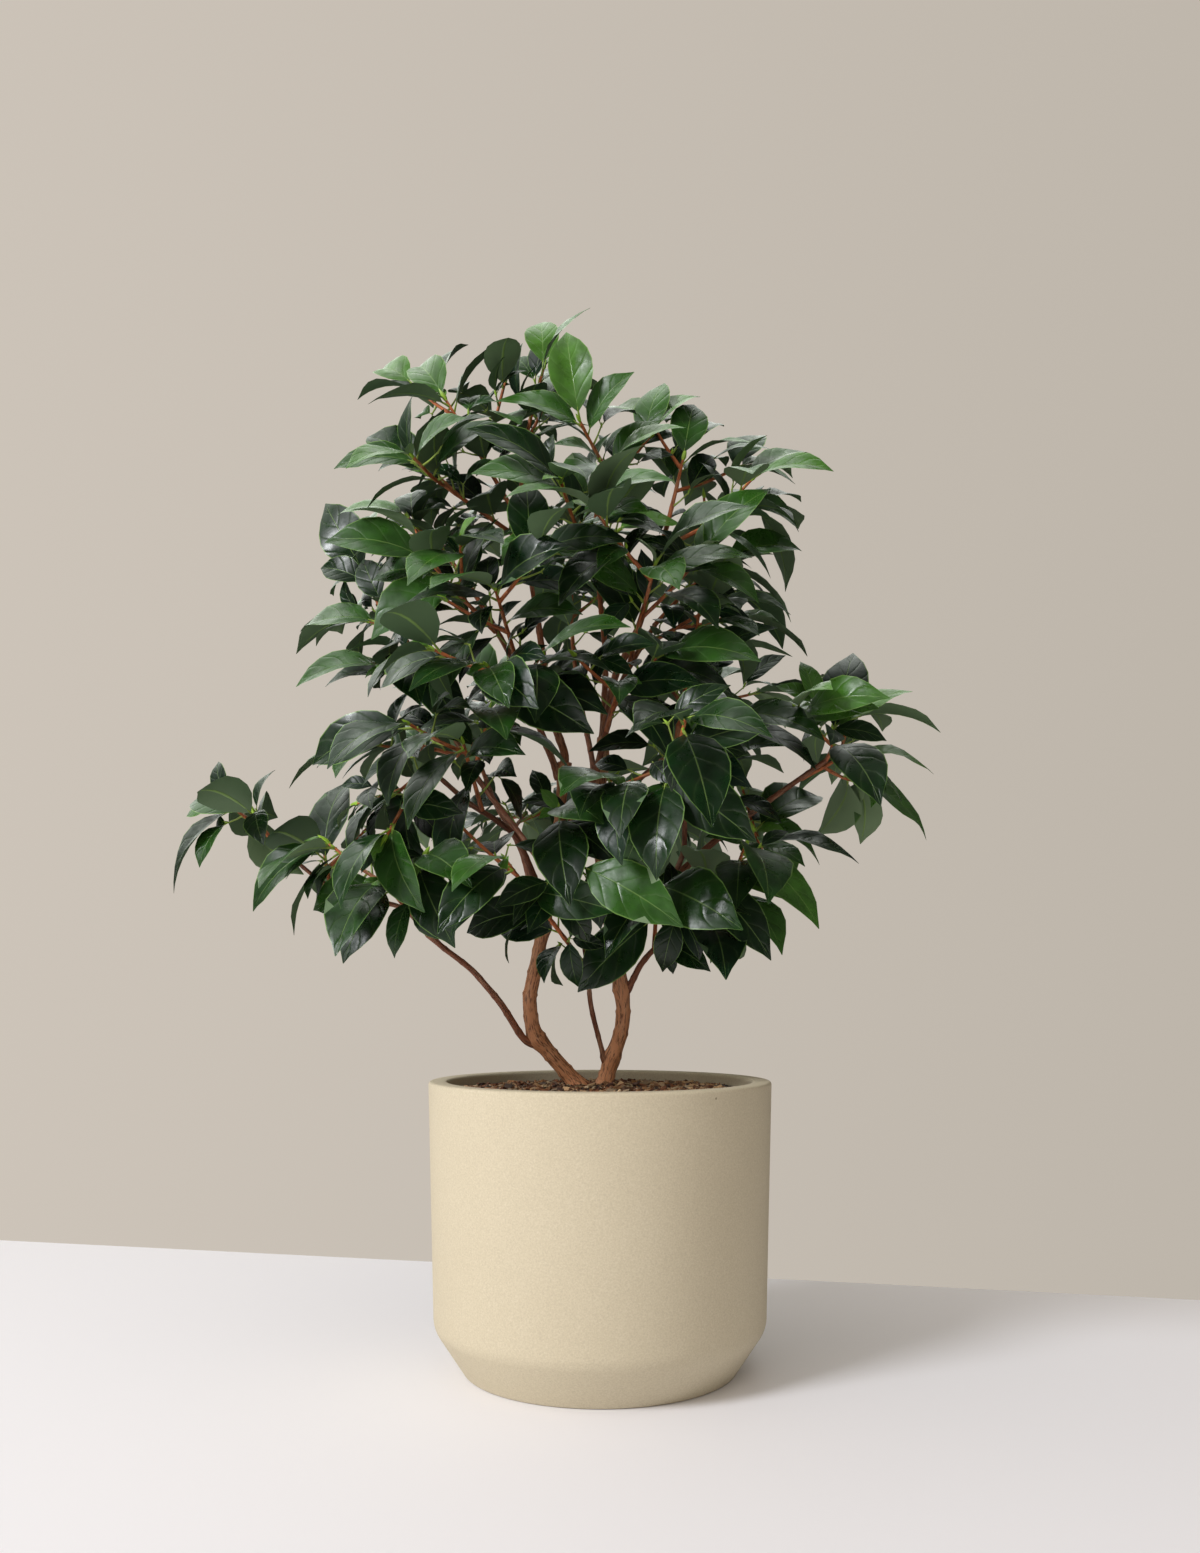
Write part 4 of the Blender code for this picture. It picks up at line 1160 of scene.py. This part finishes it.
def leafStalk(foot, way, face, length):
    end = leafSize["petioleLength"] + blade["stalkInto"]
    course = [leafPlace(foot, way, face, length, end * step / 2)[0] for step in range(3)]
    course[0] = course[0] - way * blade["stalkSunk"] * mm
    thick = blade["stalk"] * mm * length / (leafSize["length"] * mm)
    return tube(course, [thick * taper for taper in blade["stalkTaper"]], blade["stalkSides"])


def budShape(foot, way, length):
    # a pointed bud of overlapping scales, set a little into the shoot
    start = foot - way * spur["budSunk"] * mm
    width = length * spur["budWidth"] / 2
    course = [start + way * length * place for place, wide in spur["budShape"]]
    return tube(course, [width * wide for place, wide in spur["budShape"]], spur["budSides"])


# A leaf's tone: how much of its draw each kind takes and what is added, the draw's least, most and
# likeliest, the most that a region's freshness and painted light let it reach, and the draw of the bluer
# leaves
leafKinds = {"open": (1, 0), "end": (1, 0.14), "inner": (0.6, 0), "young": (0.3, 0.72)}
toneDraw = (0, 1.9, 0.7)
toneMost = (0.3, 0.5)
coolDraw = (-0.3, 0.7)
# Which masses are joined to one piece of leaves and one of twigs, and how fresh and how lit their leaves
# look:
# partly their own freshness and partly painted light, highest on the far right for the light and sheen
# falling there
regions = {
    "crown": (0.6, ["crown_left", "crown_top", "crown_middle", "crown_front", "crown_shoulder"]),
    "upperRight": (0.48, ["right_peak", "right_shoulder", "right_upper_side", "right_front_high"]),
    "upperLeft": (0.48, ["upper_left", "left_shoulder", "left_bright", "left_side"]),
    "midLeft": (0.3, ["left_elbow", "left_waist", "left_skirt", "left_front"]),
    "farLeft": (0.46, ["far_left_tip", "far_left_middle", "low_left"]),
    "centre": (0.28, ["centre_high", "centre_front", "centre_heart", "centre_buds", "centre_low"]),
    "midRight": (0.29, ["right_side", "right_waist", "right_front_low", "right_low_front"]),
    "farRight": (0.74, ["far_right_top", "far_right", "right_low_tip", "right_low_side"]),
    "back": (0.4, ["back_left_high", "back_left_low", "back_right_high", "back_right_low",
                   "back_crown"]),
}


def shootBark(mass, order, course, seed):
    # a shoot's bark, its foot sunk in its carrier where it is the mass's own stem
    smooth = resample(course, shoot["meshStep"] * mm)
    foot = shoot["tip"] if order else shoot["foot"]
    if order == 0:
        smooth = [smooth[0] - directions(smooth)[0] * mass.sink, *smooth]
    count = len(smooth) - 1
    radii = [(foot + (shoot["end"] - foot) * index / count) * mm for index in range(count + 1)]
    return barkTube(smooth, radii, shoot["sides"], shoot["age"], 0.0, seed, shoot["relief"])


def dressRegion(region, freshness, names, skins):
    leaves, twigs = Joined(), Joined()
    dice = random.Random(region)
    plain = {"tone": 1, "cool": 0, "uv": (0.5, 0.5)}
    least, gain = toneMost
    for name in names:
        mass = masses[name]
        for order, course in enumerate(mass.courses):
            points, faces, places, ages = shootBark(mass, order, course, dice.uniform(*shoot["seeds"]))
            twigs.add(points, faces, barkPlace=places, age=ages, weather=0.0)
            size = spur["endBud"] * mm * dice.uniform(*spur["endSpan"])
            leaves.add(*budShape(*placeAlong(course, 1), size), 3, **plain)
        for line in mass.spurs:
            radii = [spur["radius"] * mm * taper for taper in spur["taper"]]
            leaves.add(*tube(line, radii, spur["budSides"]), 2, **plain)
        for foot, way, face, length, kind in mass.leaves:
            points, faces, slots, uvs = leafBlade(foot, way, face, length, dice)
            share, lift = leafKinds[kind]
            # painted light: the region's figure lightens the leaves' base colour where light and sheen fall
            # on them, as well as for fresh growth
            tone = share * freshness * dice.triangular(*toneDraw)
            tone = min(1, min(tone, least + gain * freshness) + lift)
            cool = max(0, dice.uniform(*coolDraw) - tone)
            leaves.add(points, faces, slots, tone=tone, cool=cool, uv=uvs)
            leaves.add(*leafStalk(foot, way, face, length), 2, tone=tone, cool=0, uv=plain["uv"])
            if dice.random() < spur["budShare"]:
                size = spur["axilBud"] * mm * dice.uniform(*spur["axilSpan"])
                leaves.add(*budShape(foot, (way + 0.8 * face).normalized(), size), 3, **plain)
    leaves.finish(region + "Leaves", skins[:4], "foliage", names)
    twigs.finish(region + "Twigs", [skins[4]], "tan_bark")
    return len(leaves.faces)


skins = [leafTop(), leafUnder(), plainGreen("leafStalk", leafColours["stalk"], 0.5),
         plainGreen("budScales", leafColours["bud"], 0.42), barkSkin]
faceCount = sum(dressRegion(region, *facts, skins) for region, facts in regions.items())
print("leaves and twigs joined:", faceCount, "leaf faces")
